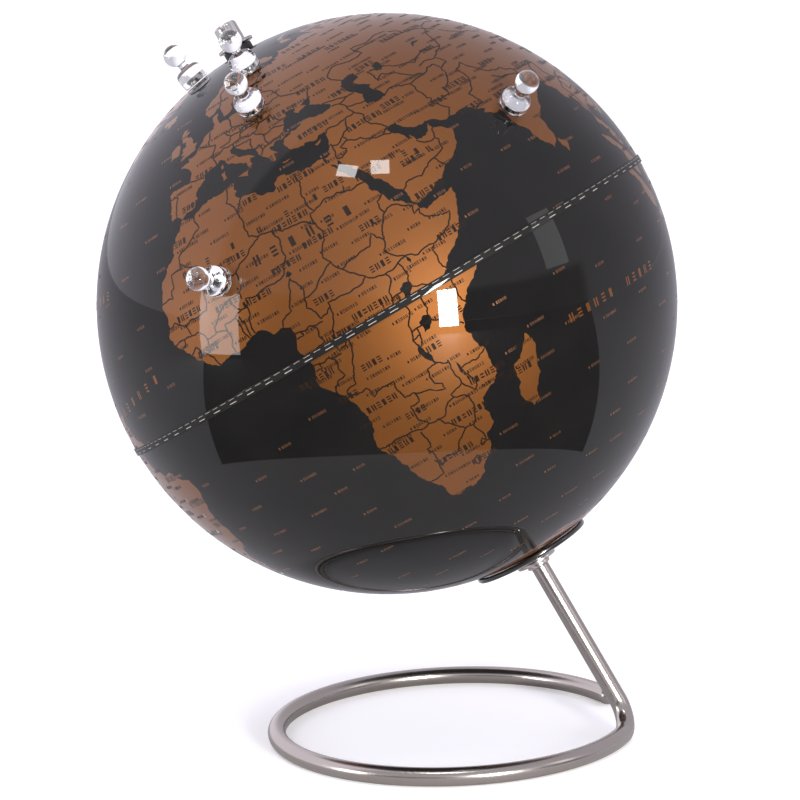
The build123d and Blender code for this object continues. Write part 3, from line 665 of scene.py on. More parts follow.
def cut_chart(south):
    """Places, triangles and which triangles are land, for one half."""
    rings = [np.array([on_chart(*place, south) for place in coast]) for coast in coasts]
    rings = [ring for ring in rings if np.hypot(*ring.T).min() < CHART_REACH]
    rims = [np.array(circle_on_chart(90, RIM_STEPS)), np.array(circle_on_chart(POLE_EDGE, HOLE_STEPS))]
    spots, edges = [], []
    for ring in rings + rims:
        first, count = len(spots), len(ring)
        spots += [tuple(spot) for spot in ring]
        edges += [(first + i, first + (i + 1) % count) for i in range(count)
                  if min(np.hypot(*ring[i]), np.hypot(*ring[(i + 1) % count])) < CHART_REACH]
    for out in np.arange(4, 89, HOOP_SPACING):
        steps = max(24, round(HOOP_STEPS * math.sin(math.radians(out))))
        spots += circle_on_chart(float(out), steps)
    net = delaunay_2d_cdt([Vector(spot) for spot in spots], edges, [], 0, 1e-5, False)
    places = np.array([tuple(vertex) for vertex in net[0]])
    triangles = np.array([face for face in net[2] if len(face) == 3])
    middles = places[triangles].mean(axis=1)
    kept = within(middles, 90, RIM_STEPS) & ~within(middles, POLE_EDGE, HOLE_STEPS)
    triangles, middles = triangles[kept], middles[kept]
    return places, triangles, inside_any(middles, rings)


north_net, south_net = cut_chart(False), cut_chart(True)
print("triangles, north and south:", len(north_net[1]), len(south_net[1]))


# %% Bending a chart back onto the ball
def bend(places, south):
    """Unit directions from the globe's centre for places on a chart."""
    out = np.radians(np.hypot(places[:, 0], places[:, 1]))
    turn = np.arctan2(places[:, 1], places[:, 0])
    up = -np.cos(out) if south else np.cos(out)
    return np.stack((np.sin(out) * np.cos(turn), np.sin(out) * np.sin(turn), up), axis=1)


def placed(points_in_globe):
    """The globe's own coordinates turned into the frame's."""
    turn = np.array(globe_place.to_3x3())
    return np.asarray(points_in_globe) @ turn.T + np.array(globe_centre)


def used_only(places, triangles):
    """Drop the places that no triangle uses."""
    used, back = np.unique(triangles, return_inverse=True)
    return places[used], back.reshape(triangles.shape)


def open_edges(triangles):
    """The directed edges that only one triangle has."""
    directed = np.concatenate([triangles[:, [0, 1]], triangles[:, [1, 2]], triangles[:, [2, 0]]])
    known = set(map(tuple, directed.tolist()))
    return [(a, b) for a, b in known if (b, a) not in known]


# %% [markdown]
# A half shell has a wall, so that it isn't a paper-thin surface: the net is copied 0.6 mm
# further in, turned inside out, and joined to the outer net round the equator and round the
# pole's hole. The true sphere's normals are then given to the outside, because the lacquer
# shows the slightest facet. The southern half carries the hidden lip that the northern half
# slips over.

# %% Half shells with a wall
LIP_HEIGHT, LIP_ROOT, LIP_GAP = 6 * MM, 4 * MM, 0.05 * MM
LIP_WALL, LIP_TAPER, LIP_BREAK = 0.6 * MM, 0.15 * MM, 0.2 * MM
LIP_STEPS = 180
SEA_SLOT, LAND_SLOT, INSIDE_SLOT = range(3)


def lathe_rows(profile, steps, first=0):
    """Faces and points of a closed ring: the profile goes round once, the ring goes round the axis."""
    verts = [(r * x, r * y, z) for x, y in spokes(steps) for r, z in profile]
    count = len(profile)
    faces = [(first + i * count + j, first + (i + 1) % steps * count + j,
              first + (i + 1) % steps * count + (j + 1) % count, first + i * count + (j + 1) % count)
             for i in range(steps) for j in range(count)]
    return verts, faces


def half_shell(name, net, south):
    """One half of the shell from its cut chart, with a wall, and in the south a lip."""
    places, triangles = used_only(net[0], net[1])
    outward = bend(places, south)
    if south:
        triangles = triangles[:, ::-1]
    count = len(places)
    verts = np.concatenate([outward * GLOBE_RADIUS, outward * (GLOBE_RADIUS - SHELL_WALL)])
    faces = [tuple(face) for face in triangles.tolist()]
    faces += [tuple(count + v for v in reversed(face)) for face in triangles.tolist()]
    rims = [(b, a, a + count, b + count) for a, b in open_edges(triangles)]
    inks = [LAND_SLOT if land else SEA_SLOT for land in net[2]] + [INSIDE_SLOT] * (len(triangles) + len(rims))
    faces += rims
    if south:
        outer = GLOBE_RADIUS - SHELL_WALL - LIP_GAP
        lip = [(outer - LIP_WALL, -LIP_ROOT), (outer - LIP_TAPER, -LIP_ROOT), (outer, 0),
               (outer, LIP_HEIGHT - LIP_BREAK), (outer - LIP_BREAK, LIP_HEIGHT), (outer - LIP_WALL, LIP_HEIGHT)]
        ring, ring_faces = lathe_rows(lip, LIP_STEPS, len(verts))
        verts = np.concatenate([verts, ring])
        faces += ring_faces
        inks += [INSIDE_SLOT] * len(ring_faces)
    mesh = bpy.data.meshes.new(name)
    mesh.from_pydata(placed(verts).tolist(), [], faces)
    mesh.shade_smooth()
    for ink in (SEA, LAND, INSIDE):
        mesh.materials.append(ink)
    mesh.polygons.foreach_set("material_index", inks)
    mesh.update()
    normals = []
    for polygon in mesh.polygons:
        on_wall = polygon.index < 2 * len(triangles)
        side = 1 if polygon.index < len(triangles) else -1
        for vertex in polygon.vertices:
            outward_here = (mesh.vertices[vertex].co - globe_centre).normalized() * side
            normals.append(outward_here if on_wall else polygon.normal.copy())
    mesh.normals_split_custom_set(normals)
    piece = bpy.data.objects.new(name, mesh)
    bpy.context.scene.collection.objects.link(piece)
    return piece


north_shell = half_shell("printed_north_half", north_net, False)
south_shell = half_shell("printed_south_half", south_net, True)
print("faces, north and south:", len(north_shell.data.polygons), len(south_shell.data.polygons))

# %% [markdown]
# ## What repeats over the map
# Borders, town names and the ticks of the equator scale all repeat, so they are grown by
# Geometry Nodes. `Growth` builds a tree with named inputs, runs it on a base mesh, and keeps
# the result as one plain mesh. All of it is grown about the globe's own centre and then put
# in its place, so that "up" is simply the direction away from the centre.

# %% Trees that grow a mesh
class Growth(Graph):
    """A Geometry Nodes tree with named inputs."""

    def __init__(self, name, **sizes):
        super().__init__(bpy.data.node_groups.new(name, "GeometryNodeTree"))
        self.sizes = {label.replace("_", " "): value for label, value in sizes.items()}
        interface = self.tree.interface
        interface.new_socket("Geometry", in_out="OUTPUT", socket_type="NodeSocketGeometry")
        interface.new_socket("Geometry", in_out="INPUT", socket_type="NodeSocketGeometry")
        for label, value in self.sizes.items():
            kind = {float: "Float", int: "Int"}.get(type(value)) or type(value).__name__
            interface.new_socket(label, in_out="INPUT", socket_type=f"NodeSocket{kind}")
        self.entry = self.node("NodeGroupInput")

    def __getitem__(self, label):
        return Wire(self, self.entry.outputs[label])

    def vector(self, operation, *values):
        slots = (0, 3) if operation == "SCALE" else (0, 1)
        return self.out("ShaderNodeVectorMath", {"operation": operation}, dict(zip(slots, values)))

    def outward(self):
        return self.vector("NORMALIZE", self.out("GeometryNodeInputPosition"))

    def facing(self):
        """East along x, north along y and away from the globe along z."""
        away = self.outward()
        east = self.vector("CROSS_PRODUCT", (0, 0, 1), away)
        return self.out("FunctionNodeAxesToRotation", {"primary_axis": "Z", "secondary_axis": "X"},
                        {"Primary Axis": away, "Secondary Axis": east})

    def grow(self, shape, base, name):
        """Finish the tree, run it once on a base mesh and keep the result as a plain piece."""
        whole = self.out("GeometryNodeRealizeInstances", inputs={"Geometry": shape})
        inked = self.out("GeometryNodeSetMaterial", inputs={"Geometry": whole, "Material": self["Ink"]})
        self.node("NodeGroupOutput", inputs={"Geometry": inked})
        piece = bpy.data.objects.new(name, base)
        bpy.context.scene.collection.objects.link(piece)
        modifier = piece.modifiers.new(name, "NODES")
        modifier.node_group = self.tree
        for item in self.tree.interface.items_tree:
            if item.in_out == "INPUT" and item.name in self.sizes:
                modifier[item.identifier] = self.sizes[item.name]
        depsgraph = bpy.context.evaluated_depsgraph_get()
        mesh = bpy.data.meshes.new_from_object(piece.evaluated_get(depsgraph), depsgraph=depsgraph)
        piece.modifiers.clear()
        piece.data = mesh
        mesh.transform(globe_place)
        print(name, len(mesh.polygons), "faces")
        return piece


# %% [markdown]
# Borders are thin ink lines that follow the ball. Each is a chain of edges; the tree turns it
# into a curve, keeps the curve's normal pointing away from the centre, and sweeps a flat
# rectangle along it, so that the line lies in the surface like a thin film.

# %% Borders
SEAM_MARGIN = 0.35


def chains(lines):
    """One mesh of open edge chains, with what each half shows of every line."""
    verts, edges = [], []
    for south, line in ((half, line) for half in (False, True) for line in lines):
        before = None
        for longitude, latitude in line:
            height = printed_latitude(latitude, south)
            if (-height if south else height) < SEAM_MARGIN:
                before = None
                continue
            verts.append(on_ball(turn_of(longitude), math.radians(height)))
            if before is not None:
                edges.append((before, len(verts) - 1))
            before = len(verts) - 1
    mesh = bpy.data.meshes.new("border_lines")
    mesh.from_pydata(verts, edges, [])
    return mesh


border_tree = Growth("border_ink", Width=0.62 * MM, Film=0.05 * MM, Ink=LINE)
border_curve = border_tree.out("GeometryNodeMeshToCurve", inputs={"Mesh": border_tree["Geometry"]})
border_curve = border_tree.out("GeometryNodeSetCurveNormal", {"mode": "FREE"},
                               {"Curve": border_curve, "Normal": border_tree.outward()})
stripe = border_tree.out("GeometryNodeCurvePrimitiveQuadrilateral",
                         inputs={"Width": border_tree["Film"], "Height": border_tree["Width"]})
border_strip = border_tree.out("GeometryNodeCurveToMesh",
                               inputs={"Curve": border_curve, "Profile Curve": stripe, "Fill Caps": True})
border_strip = border_tree.out("GeometryNodeSetShadeSmooth",
                               inputs={"Geometry": border_strip, "Shade Smooth": False})
border_lines = chains([wriggled(line, dice, 0.8, 0.13, False) for line in BORDERS])
borders = border_tree.grow(border_strip, border_lines, "country_borders")
away = [(vertex.co - globe_centre).length / MM for vertex in borders.data.vertices]
print(f"borders lie between {min(away):.3f} and {max(away):.3f} mm from the centre")

# %% [markdown]
# Names are printed all over the map, too small to matter as words. So each one is a row of
# plain marks of a letter's size that belong to no alphabet: uprights, level bars and blocks. A
# few such words are listed, and the tree scatters them over land or sea with a least
# distance between them, turned to run east. Each vertex remembers whether it is on the face or
# the foot of the film, so the tree can wrap the flat word onto the ball.

# %% Words as rows of marks
MARK_WIDTH = 0.62
MARKS = {
    "2": [(0.00, 0.22, 0, 1), (0.40, MARK_WIDTH, 0, 1)],
    "3": [(0.00, MARK_WIDTH, 0.80, 1), (0.00, MARK_WIDTH, 0.40, 0.60), (0.00, MARK_WIDTH, 0, 0.20)],
    "=": [(0.00, MARK_WIDTH, 0.62, 0.86), (0.00, MARK_WIDTH, 0.14, 0.38)],
    "b": [(0.06, 0.56, 0, 1)],
    "1": [(0.18, 0.44, 0, 1)],
}


MARK_PITCH = 0.84
WORD_FILM = 0.1 * MM


def film_word(name, spelling, height, pitch, dot):
    """A word of marks about the origin, with a town's dot at its start if it has one."""
    width = pitch * (len(spelling) - 1) + MARK_WIDTH
    boxes = [(x0 + pitch * i - width / 2, x1 + pitch * i - width / 2, y0 - 0.5, y1 - 0.5)
             for i, mark in enumerate(spelling) for x0, x1, y0, y1 in MARKS[mark]]
    if dot:
        boxes += [(-width / 2 - 2.2 * dot, -width / 2 - 1.2 * dot, -dot / 2, dot / 2),
                  (-width / 2 - 2.0 * dot, -width / 2 - 1.4 * dot, -dot * 0.8, dot * 0.8)]
    verts, faces = [], []
    for x0, x1, y0, y1 in boxes:
        k = len(verts)
        corners = (x0, y0), (x1, y0), (x1, y1), (x0, y1)
        verts += [(x * height, y * height, z) for z in (0, 1) for x, y in corners]
        faces += [(k + 3, k + 2, k + 1, k), (k + 4, k + 5, k + 6, k + 7)]
        faces += [(k + i, k + (i + 1) % 4, k + 4 + (i + 1) % 4, k + 4 + i) for i in range(4)]
    mesh = bpy.data.meshes.new(name)
    mesh.from_pydata([(x, y, z * WORD_FILM) for x, y, z in verts], [], faces)
    lift = mesh.attributes.new("lift", "FLOAT", "POINT")
    lift.data.foreach_set("value", [z for x, y, z in verts])
    return bpy.data.objects.new(name, mesh)


def word_box(name, spellings, height, pitch=MARK_PITCH, dot=0.0):
    """A collection of a few words, for a tree to pick from."""
    box = bpy.data.collections.new(name)
    for spelling in spellings:
        box.objects.link(film_word(f"{name}_{spelling}", spelling, height, pitch, dot))
    return box


def empty(box):
    """Throw away the words once they are printed."""
    for word in list(box.objects):
        bpy.data.objects.remove(word)
    bpy.data.collections.remove(box)


# %% The tree that prints words
CROWDING = 1.5


def print_words(name, base, words, ink, spacing=None, seed=1, land=True, film=0.015):
    """Words on the base mesh's points, or scattered over its land or sea."""
    tree = Growth(name, Words=words, Ink=ink, Radius=GLOBE_RADIUS, Film=film * MM,
                  Spacing=(spacing or 0) * MM, Seed=seed)
    spots = tree["Geometry"]
    if spacing:
        on_land = tree.out("GeometryNodeInputNamedAttribute", {"data_type": "BOOLEAN"}, {"Name": "land"})
        chosen = on_land if land else tree.out("FunctionNodeBooleanMath", {"operation": "NOT"}, {0: on_land})
        spots = tree.out("GeometryNodeDistributePointsOnFaces", {"distribute_method": "POISSON"},
                         {"Mesh": tree["Geometry"], "Selection": chosen, "Distance Min": tree["Spacing"],
                          "Density Max": CROWDING / (spacing * MM) ** 2, "Seed": tree["Seed"]})
    set_words = tree.out("GeometryNodeCollectionInfo", inputs={
        "Collection": tree["Words"], "Separate Children": True, "Reset Children": True})
    placed_words = tree.out("GeometryNodeInstanceOnPoints", inputs={
        "Points": spots, "Instance": set_words, "Pick Instance": True, "Rotation": tree.facing()})
    flat = tree.out("GeometryNodeRealizeInstances", inputs={"Geometry": placed_words})
    lift = tree.out("GeometryNodeInputNamedAttribute", {"data_type": "FLOAT"}, {"Name": "lift"})
    height = tree["Radius"] + (lift * 2 - 1) * tree["Film"]
    wrapped = tree.out("GeometryNodeSetPosition",
                       inputs={"Geometry": flat, "Position": tree.vector("SCALE", tree.outward(), height)})
    piece = tree.grow(wrapped, base, name)
    empty(words)
    return piece


def land_and_sea():
    """The outside of both halves about the origin, with land marked on its faces."""
    verts, faces, land, first = [], [], [], 0
    for net, south in ((north_net, False), (south_net, True)):
        outward = bend(net[0], south) * GLOBE_RADIUS
        triangles = net[1][:, ::-1] if south else net[1]
        verts.append(outward)
        faces.append(triangles + first)
        land.append(net[2])
        first += len(outward)
    mesh = bpy.data.meshes.new("land_and_sea")
    mesh.from_pydata(np.concatenate(verts).tolist(), [], np.concatenate(faces).tolist())
    mesh.attributes.new("land", "BOOLEAN", "FACE").data.foreach_set("value", np.concatenate(land))
    return mesh


# %% Names on land and sea
ground = land_and_sea()
town_words = word_box("town", ["2312b3", "b32=213", "3b2231b2", "23b2", "2b31=2b32"], 1.35 * MM, dot=0.5)
towns = print_words("town_names", ground, town_words, LINE, spacing=7.0, seed=4)
country_words = word_box("country", ["2b32b", "b23b32", "32b3", "2b=23b2"], 2.6 * MM, 0.9)
countries = print_words("country_names", ground.copy(), country_words, LINE, spacing=12.5, seed=11)
islet_words = word_box("islet", ["2312", "b32=2", "3212b23"], 1.2 * MM, dot=0.6)
islets = print_words("island_names", ground.copy(), islet_words, FAINT, spacing=14.0, seed=3, land=False)


# %% Wide-set names, at listed places
WIDE_FILM = 0.03


def mark_row(starts, ends, count):
    """Evenly spaced places between two (longitude, latitude) pairs."""
    return [tuple(start + (end - start) * i / (count - 1) for start, end in zip(starts, ends))
            for i in range(count)]


def wide_name(name, rows, marks, height, ink):
    """Marks at rows of (longitude, latitude) places as printed, with no slip."""
    mesh = bpy.data.meshes.new(name)
    mesh.from_pydata([on_ball(math.radians(place[0] - LONGITUDE_OF_X), math.radians(place[1]))
                      for row in rows for place in row], [], [])
    return print_words(name, mesh, word_box(name, marks, height), ink, film=WIDE_FILM)


continent_rows = [mark_row((9.7, 20.1), (29.6, 19.6), 6), mark_row((95, 62), (140, 62), 4),
                  mark_row((-110, 42), (-85, 42), 5), mark_row((-65, -8), (-48, -12), 5)]
desert_rows = [mark_row((-6.9, 25), (25.6, 25), 6), mark_row((43, 24.5), (50, 22), 4)]
ocean_rows = [mark_row((57.8, -18.2), (69.4, -18.2), 6), mark_row((75.6, -18.2), (85.5, -18.2), 5),
              mark_row((-48.5, 7.5), (-24.4, 10.5), 7), mark_row((-150, -8), (-120, -8), 7),
              mark_row((160, 22), (178, 22), 6), mark_row((-60, 30), (-38, 30), 7)]
continent_name = wide_name("wide_land_name", continent_rows, ["2", "3", "b"], 4.2 * MM, LINE)
desert_name = wide_name("wide_desert_name", desert_rows, ["2", "b", "3"], 2.7 * MM, LINE)
ocean_name = wide_name("wide_ocean_names", ocean_rows, ["2", "3", "b"], 3.6 * MM, LAND)

# %% [markdown]
# ## Turned parts
# Everything on the polar axis is turned on a lathe: the equator band, the washers, the
# bushing, the finial and the dish. One helper spins a section round the axis, and a second
# one rounds the section's corners, because a turned edge always has a small break that
# catches the light.

# %% Lathe
SHARP_EDGE = math.radians(32)


def rounded(corners, steps=4):
    """A section whose corners (radius, level, rounding) in mm are eased by arcs."""
    section = []
    for i, (r, z, ease) in enumerate(corners):
        here = Vector((r, z))
        before = Vector(corners[i - 1][:2]) - here
        after = Vector(corners[(i + 1) % len(corners)][:2]) - here
        if not ease:
            section.append(here)
            continue
        half = before.angle(after) / 2
        reach = ease / math.tan(half)
        middle = here + (before.normalized() + after.normalized()).normalized() * ease / math.sin(half)
        first = here + before.normalized() * reach - middle
        sweep = first.angle_signed(here + after.normalized() * reach - middle)
        for step in range(steps + 1):
            turned = first.copy()
            turned.rotate(Matrix.Rotation(-sweep * step / steps, 2))
            section.append(middle + turned)
    return [(point.x * MM, point.y * MM) for point in section]


def turned(name, section, material, place=globe_place, steps=96, ring=True):
    """A section spun round z. A ring's section is closed; otherwise it starts and ends on the axis."""
    bm = bmesh.new()
    layer = bm.loops.layers.uv.new("UVMap")
    rows = []
    for r, z in section:
        if r < 1e-7:
            rows.append([bm.verts.new((0, 0, z))] * steps)
        else:
            rows.append([bm.verts.new((r * x, r * y, z)) for x, y in spokes(steps)])
    lengths = [math.dist(a, b) for a, b in zip(section, section[1:] + section[:1])]
    along = np.concatenate([[0], np.cumsum(lengths)])
    for j in range(len(section) if ring else len(section) - 1):
        low, high = rows[j], rows[(j + 1) % len(rows)]
        for i in range(steps):
            k = (i + 1) % steps
            spots = [(low[i], i, j), (low[k], i + 1, j), (high[k], i + 1, j + 1), (high[i], i, j + 1)]
            unique = [spot for n, spot in enumerate(spots) if spot[0] not in [other[0] for other in spots[:n]]]
            face = bm.faces.new([spot[0] for spot in unique])
            for loop, (vert, turn, step) in zip(face.loops, unique):
                loop[layer].uv = (turn / steps, along[step])
    bmesh.ops.recalc_face_normals(bm, faces=bm.faces)
    bm.transform(place)
    mesh = bpy.data.meshes.new(name)
    bm.to_mesh(mesh)
    bm.free()
    mesh.materials.append(material)
    mesh.shade_smooth()
    mesh.set_sharp_from_angle(angle=SHARP_EDGE)
    piece = bpy.data.objects.new(name, mesh)
    bpy.context.scene.collection.objects.link(piece)
    return piece


# %% [markdown]
# The equator band hides the seam. It is a thin black strip with two rows of white ticks, the
# lower row long and wide apart, the upper row twice as close. Each row is one small bar, set
# round a circle of the strip's radius and then moved to its own height.

# %% Equator band
BAND_IN, BAND_OUT, BAND_HALF = 125.03, 125.63, 1.6
TICK_FILM = 0.02
band_section = rounded([(BAND_IN, -BAND_HALF, 0.08), (BAND_OUT, -BAND_HALF, 0.16),
                        (BAND_OUT, BAND_HALF, 0.16), (BAND_IN, BAND_HALF, 0.08)], 3)
band = turned("equator_band_strip", band_section, BAND_BLACK, steps=RIM_STEPS)


def ticks(name, count, length, width, level, ink):
    """A row of bars round the band."""
    tree = Growth(name, Count=count, Length=length * MM, Width=width * MM, Film=TICK_FILM * MM, Level=level * MM,
                  Radius=BAND_OUT * MM, Ink=ink)
    circle = tree.out("GeometryNodeMeshCircle", inputs={"Vertices": tree["Count"], "Radius": tree["Radius"]})
    shape = tree.out("ShaderNodeCombineXYZ", inputs={0: tree["Length"], 1: tree["Width"], 2: tree["Film"]})
    bar = tree.out("GeometryNodeMeshCube", inputs={"Size": shape, "Vertices X": 4})
    row = tree.out("GeometryNodeInstanceOnPoints",
                   inputs={"Points": circle, "Instance": bar, "Rotation": tree.facing()})
    row = tree.out("GeometryNodeRealizeInstances", inputs={"Geometry": row})
    lifted = tree.out("ShaderNodeCombineXYZ", inputs={2: tree["Level"]})
    row = tree.out("GeometryNodeSetPosition", inputs={"Geometry": row, "Offset": lifted})
    return tree.grow(row, bpy.data.meshes.new(name), name)


lower_ticks = ticks("band_lower_ticks", 81, 3.6, 0.28, -0.55, WHITE)
upper_ticks = ticks("band_upper_ticks", 162, 3.0, 0.15, 0.95, WHITE)

# %% [markdown]
# At the north pole a black bushing carries the shell on the axle, and a washer and a tall
# satin finial hold it down. At the south pole the dish that the globe sits in is one thin
# glossy bowl with a rounded rim, on a washer and a collar at the top of the stalk.

# %% Finial, washers, bushing
def level(radius, offset):
    """Height of a sphere's surface above its centre, at an offset from the axis."""
    return math.sqrt(radius ** 2 - offset ** 2)


SHELL_TOP = level(125, 5)
BUSHING_SEAT = SHELL_TOP + 0.05
BUSHING_TOP = BUSHING_SEAT + 3.0
WASHER_SEAT = BUSHING_TOP + 0.3
CAP_SEAT = WASHER_SEAT + 1.5
BUSHING_FOOT = SHELL_TOP - 8
AXLE_BORE, THREAD_BORE = 3.05, 2.55
BUSHING_NECK, BUSHING_FLANGE = 4.95, 6.5
WASHER, CAP_RADIUS = 8.2, 5.2
CAP_BORE_END, CAP_TOP = CAP_SEAT + 6.6, CAP_SEAT + 9.6

bushing_section = rounded([(AXLE_BORE, BUSHING_FOOT, 0), (BUSHING_NECK, BUSHING_FOOT, 0.3),
                           (BUSHING_NECK, BUSHING_SEAT, 0), (BUSHING_FLANGE, BUSHING_SEAT, 0.15),
                           (BUSHING_FLANGE, BUSHING_TOP, 0.5), (AXLE_BORE, BUSHING_TOP, 0)])
bushing = turned("upper_bushing_turned", bushing_section, BEARING)
washer_section = rounded([(THREAD_BORE, WASHER_SEAT, 0), (WASHER, WASHER_SEAT, 0.3),
                          (WASHER, CAP_SEAT, 0.45), (THREAD_BORE, CAP_SEAT, 0)])
top_washer = turned("top_washer_turned", washer_section, TURNED)
cap_section = rounded([(0, CAP_BORE_END, 0), (THREAD_BORE, CAP_BORE_END, 0), (THREAD_BORE, CAP_SEAT, 0),
                       (CAP_RADIUS, CAP_SEAT, 0.2), (CAP_RADIUS, CAP_TOP, 1.6), (0, CAP_TOP, 0)], 5)
cap = turned("finial_turned", cap_section, CAP, ring=False)
print(f"finial seat at {CAP_SEAT:.2f} mm, top at {CAP_TOP:.2f} mm from the globe's centre")

# %% Dish, lower washer and collar
DISH_IN, DISH_OUT, DISH_EDGE, DISH_RIM = 125.3, 127.6, 26.5, 0.9
SEAT_GAP, LOWER_THICK = 0.05, 1.6
LOWER_WASHER, COLLAR, COLLAR_TALL = 9.15, 5.35, 2
COLLAR_TOP = -level(DISH_OUT, THREAD_BORE) - SEAT_GAP - LOWER_THICK


def arc(radius, start, end, steps):
    """Places on a sphere's underside between two offsets from the axis."""
    offsets = [start + (end - start) * i / steps for i in range(steps + 1)]
    return [(offset, -level(radius, offset), 0) for offset in offsets]


dish_rim = [(DISH_EDGE, -level(sphere, DISH_EDGE), DISH_RIM) for sphere in (DISH_OUT, DISH_IN)]
dish_section = rounded(arc(DISH_OUT, THREAD_BORE, DISH_EDGE, 14)[:-1] + dish_rim
                       + arc(DISH_IN, DISH_EDGE, THREAD_BORE, 14)[1:])
dish = turned("support_dish_moulded", dish_section, GLOSS, steps=128)
lower_section = rounded([(THREAD_BORE, COLLAR_TOP, 0), (LOWER_WASHER, COLLAR_TOP, 0.45),
                         (LOWER_WASHER, COLLAR_TOP + LOWER_THICK, 0.3), (THREAD_BORE, COLLAR_TOP + LOWER_THICK, 0)])
lower_washer = turned("lower_washer_turned", lower_section, TURNED)
collar_section = rounded([(THREAD_BORE, COLLAR_TOP - COLLAR_TALL, 0), (COLLAR, COLLAR_TOP - COLLAR_TALL, 0.4),
                          (COLLAR, COLLAR_TOP, 0.4), (THREAD_BORE, COLLAR_TOP, 0)])
collar = turned("collar_turned", collar_section, TURNED)
print(f"collar from {COLLAR_TOP - COLLAR_TALL:.2f} to {COLLAR_TOP:.2f} mm from the globe's centre")

# %% [markdown]
# ## Stand
# The stand is one 8 mm rod. It comes down from the dish, turns a tight bend and runs on as a
# flat ring that stops a little short of the bend with a domed end. A circle swept along the
# centre line gives it, and because the sweep knows how far along the rod it is, the UV map
# can carry the brushing round every curve.

# %% The rod's centre line
ROD, RING, BEND, STALK = 4.0, 78.0, 13.0, 81.5
FREE_END = 33.5
STALK_STEPS, STALK_KEPT, BEND_STEPS, RING_STEPS = 24, 20, 18, 220
foot_angle = math.atan((BEND + ROD) / RING)
foot_corner = Vector((RING / math.cos(foot_angle), 0, ROD))
stalk_top = foot_corner + polar_axis * STALK
ring_start = Vector((RING * math.cos(foot_angle), -RING * math.sin(foot_angle), ROD))


def bend_points(before, corner, after, radius, steps):
    """An arc that eases one corner."""
    back, on = (before - corner).normalized(), (after - corner).normalized()
    half = back.angle(on) / 2
    middle = corner + (back + on).normalized() * radius / math.sin(half)
    reach = radius / math.tan(half)
    start, end = corner + back * reach - middle, corner + on * reach - middle
    return [middle + start.slerp(end, i / steps).normalized() * radius for i in range(steps + 1)]


turn_back = math.radians(FREE_END - 360) + foot_angle
ring_turns = [-foot_angle + turn_back * i / RING_STEPS for i in range(RING_STEPS + 1)]
ring_line = [Vector((RING * math.cos(turn), RING * math.sin(turn), ROD)) for turn in ring_turns]
centre_line = [stalk_top.lerp(foot_corner, i / STALK_STEPS) for i in range(STALK_KEPT)]
centre_line += bend_points(stalk_top, foot_corner, ring_start, BEND, BEND_STEPS) + ring_line
rod_ends = [tuple(round(c, 1) for c in centre_line[end]) for end in (0, -1)]
print(f"rod from {rod_ends[0]} to {rod_ends[1]} mm")


# %% Sweep the rod
ROD_DOME, ROD_CHAMFER, DOME_STEPS = 3.2, 0.35, 6


def swept_rod(name, line, radius, material, sides=40):
    """A tube along the line with a chamfered start, a domed end and a UV map that runs along it."""
    stations = [(point, radius) for point in line]
    tangent = (line[-1] - line[-2]).normalized()
    stations = [s for s in stations if (line[-1] - s[0]).length > ROD_DOME or s[0] == line[0]]
    for step in range(DOME_STEPS + 1):
        part = math.radians(90) * step / DOME_STEPS
        stations.append((line[-1] - tangent * ROD_DOME * (1 - math.sin(part)),
                         radius - ROD_DOME + ROD_DOME * math.cos(part)))
    along_stalk = (line[0] - line[1]).normalized()
    chamfer = [(line[0], radius - ROD_CHAMFER), (line[0] - along_stalk * ROD_CHAMFER, radius)]
    stations = chamfer + stations[1:]
    middles = [station[0] for station in stations]
    bm = bmesh.new()
    layer = bm.loops.layers.uv.new("UVMap")
    side = Vector((0, 1, 0))
    rings, reach, heading = [], [0.0], None
    for i, (middle, size) in enumerate(stations):
        ahead = middles[min(i + 1, len(middles) - 1)] - middles[max(i - 1, 0)]
        if heading:
            side = heading.rotation_difference(ahead.normalized()) @ side
        heading = ahead.normalized()
        side = (side - heading * side.dot(heading)).normalized()
        other = heading.cross(side)
        if i:
            reach.append(reach[-1] + (middle - middles[i - 1]).length)
        rings.append([bm.verts.new((middle + (side * x + other * y) * size) * MM) for x, y in spokes(sides)])
    for i in range(len(rings) - 1):
        for k in range(sides):
            n = (k + 1) % sides
            face = bm.faces.new((rings[i][k], rings[i][n], rings[i + 1][n], rings[i + 1][k]))
            for loop, uv in zip(face.loops, ((i, k), (i, k + 1), (i + 1, k + 1), (i + 1, k))):
                loop[layer].uv = (reach[uv[0]] * MM, uv[1] / sides)
    bm.faces.new(list(reversed(rings[0])))
    bm.faces.new(rings[-1])
    bmesh.ops.recalc_face_normals(bm, faces=bm.faces)
    mesh = bpy.data.meshes.new(name)
    bm.to_mesh(mesh)
    bm.free()
    mesh.materials.append(material)
    mesh.shade_smooth()
    mesh.set_sharp_from_angle(angle=SHARP_EDGE)
    piece = bpy.data.objects.new(name, mesh)
    bpy.context.scene.collection.objects.link(piece)
    print(f"{name}: {reach[-1]:.0f} mm of rod, {len(mesh.polygons)} faces")
    return piece


rod = swept_rod("stand_rod", centre_line, ROD, ROD_FINISH)

# %% [markdown]
# ## Push pins
# Five clear acrylic pins hold to the steel by a nickel disc magnet let into the foot. A pin is
# turned too: a squat base with a soft shoulder, a thin neck and a ball. The magnet is a piece
# of its own in its pocket, with a hair of air round it, because that air is what makes the
# foot of a clear pin flash with broken reflections.

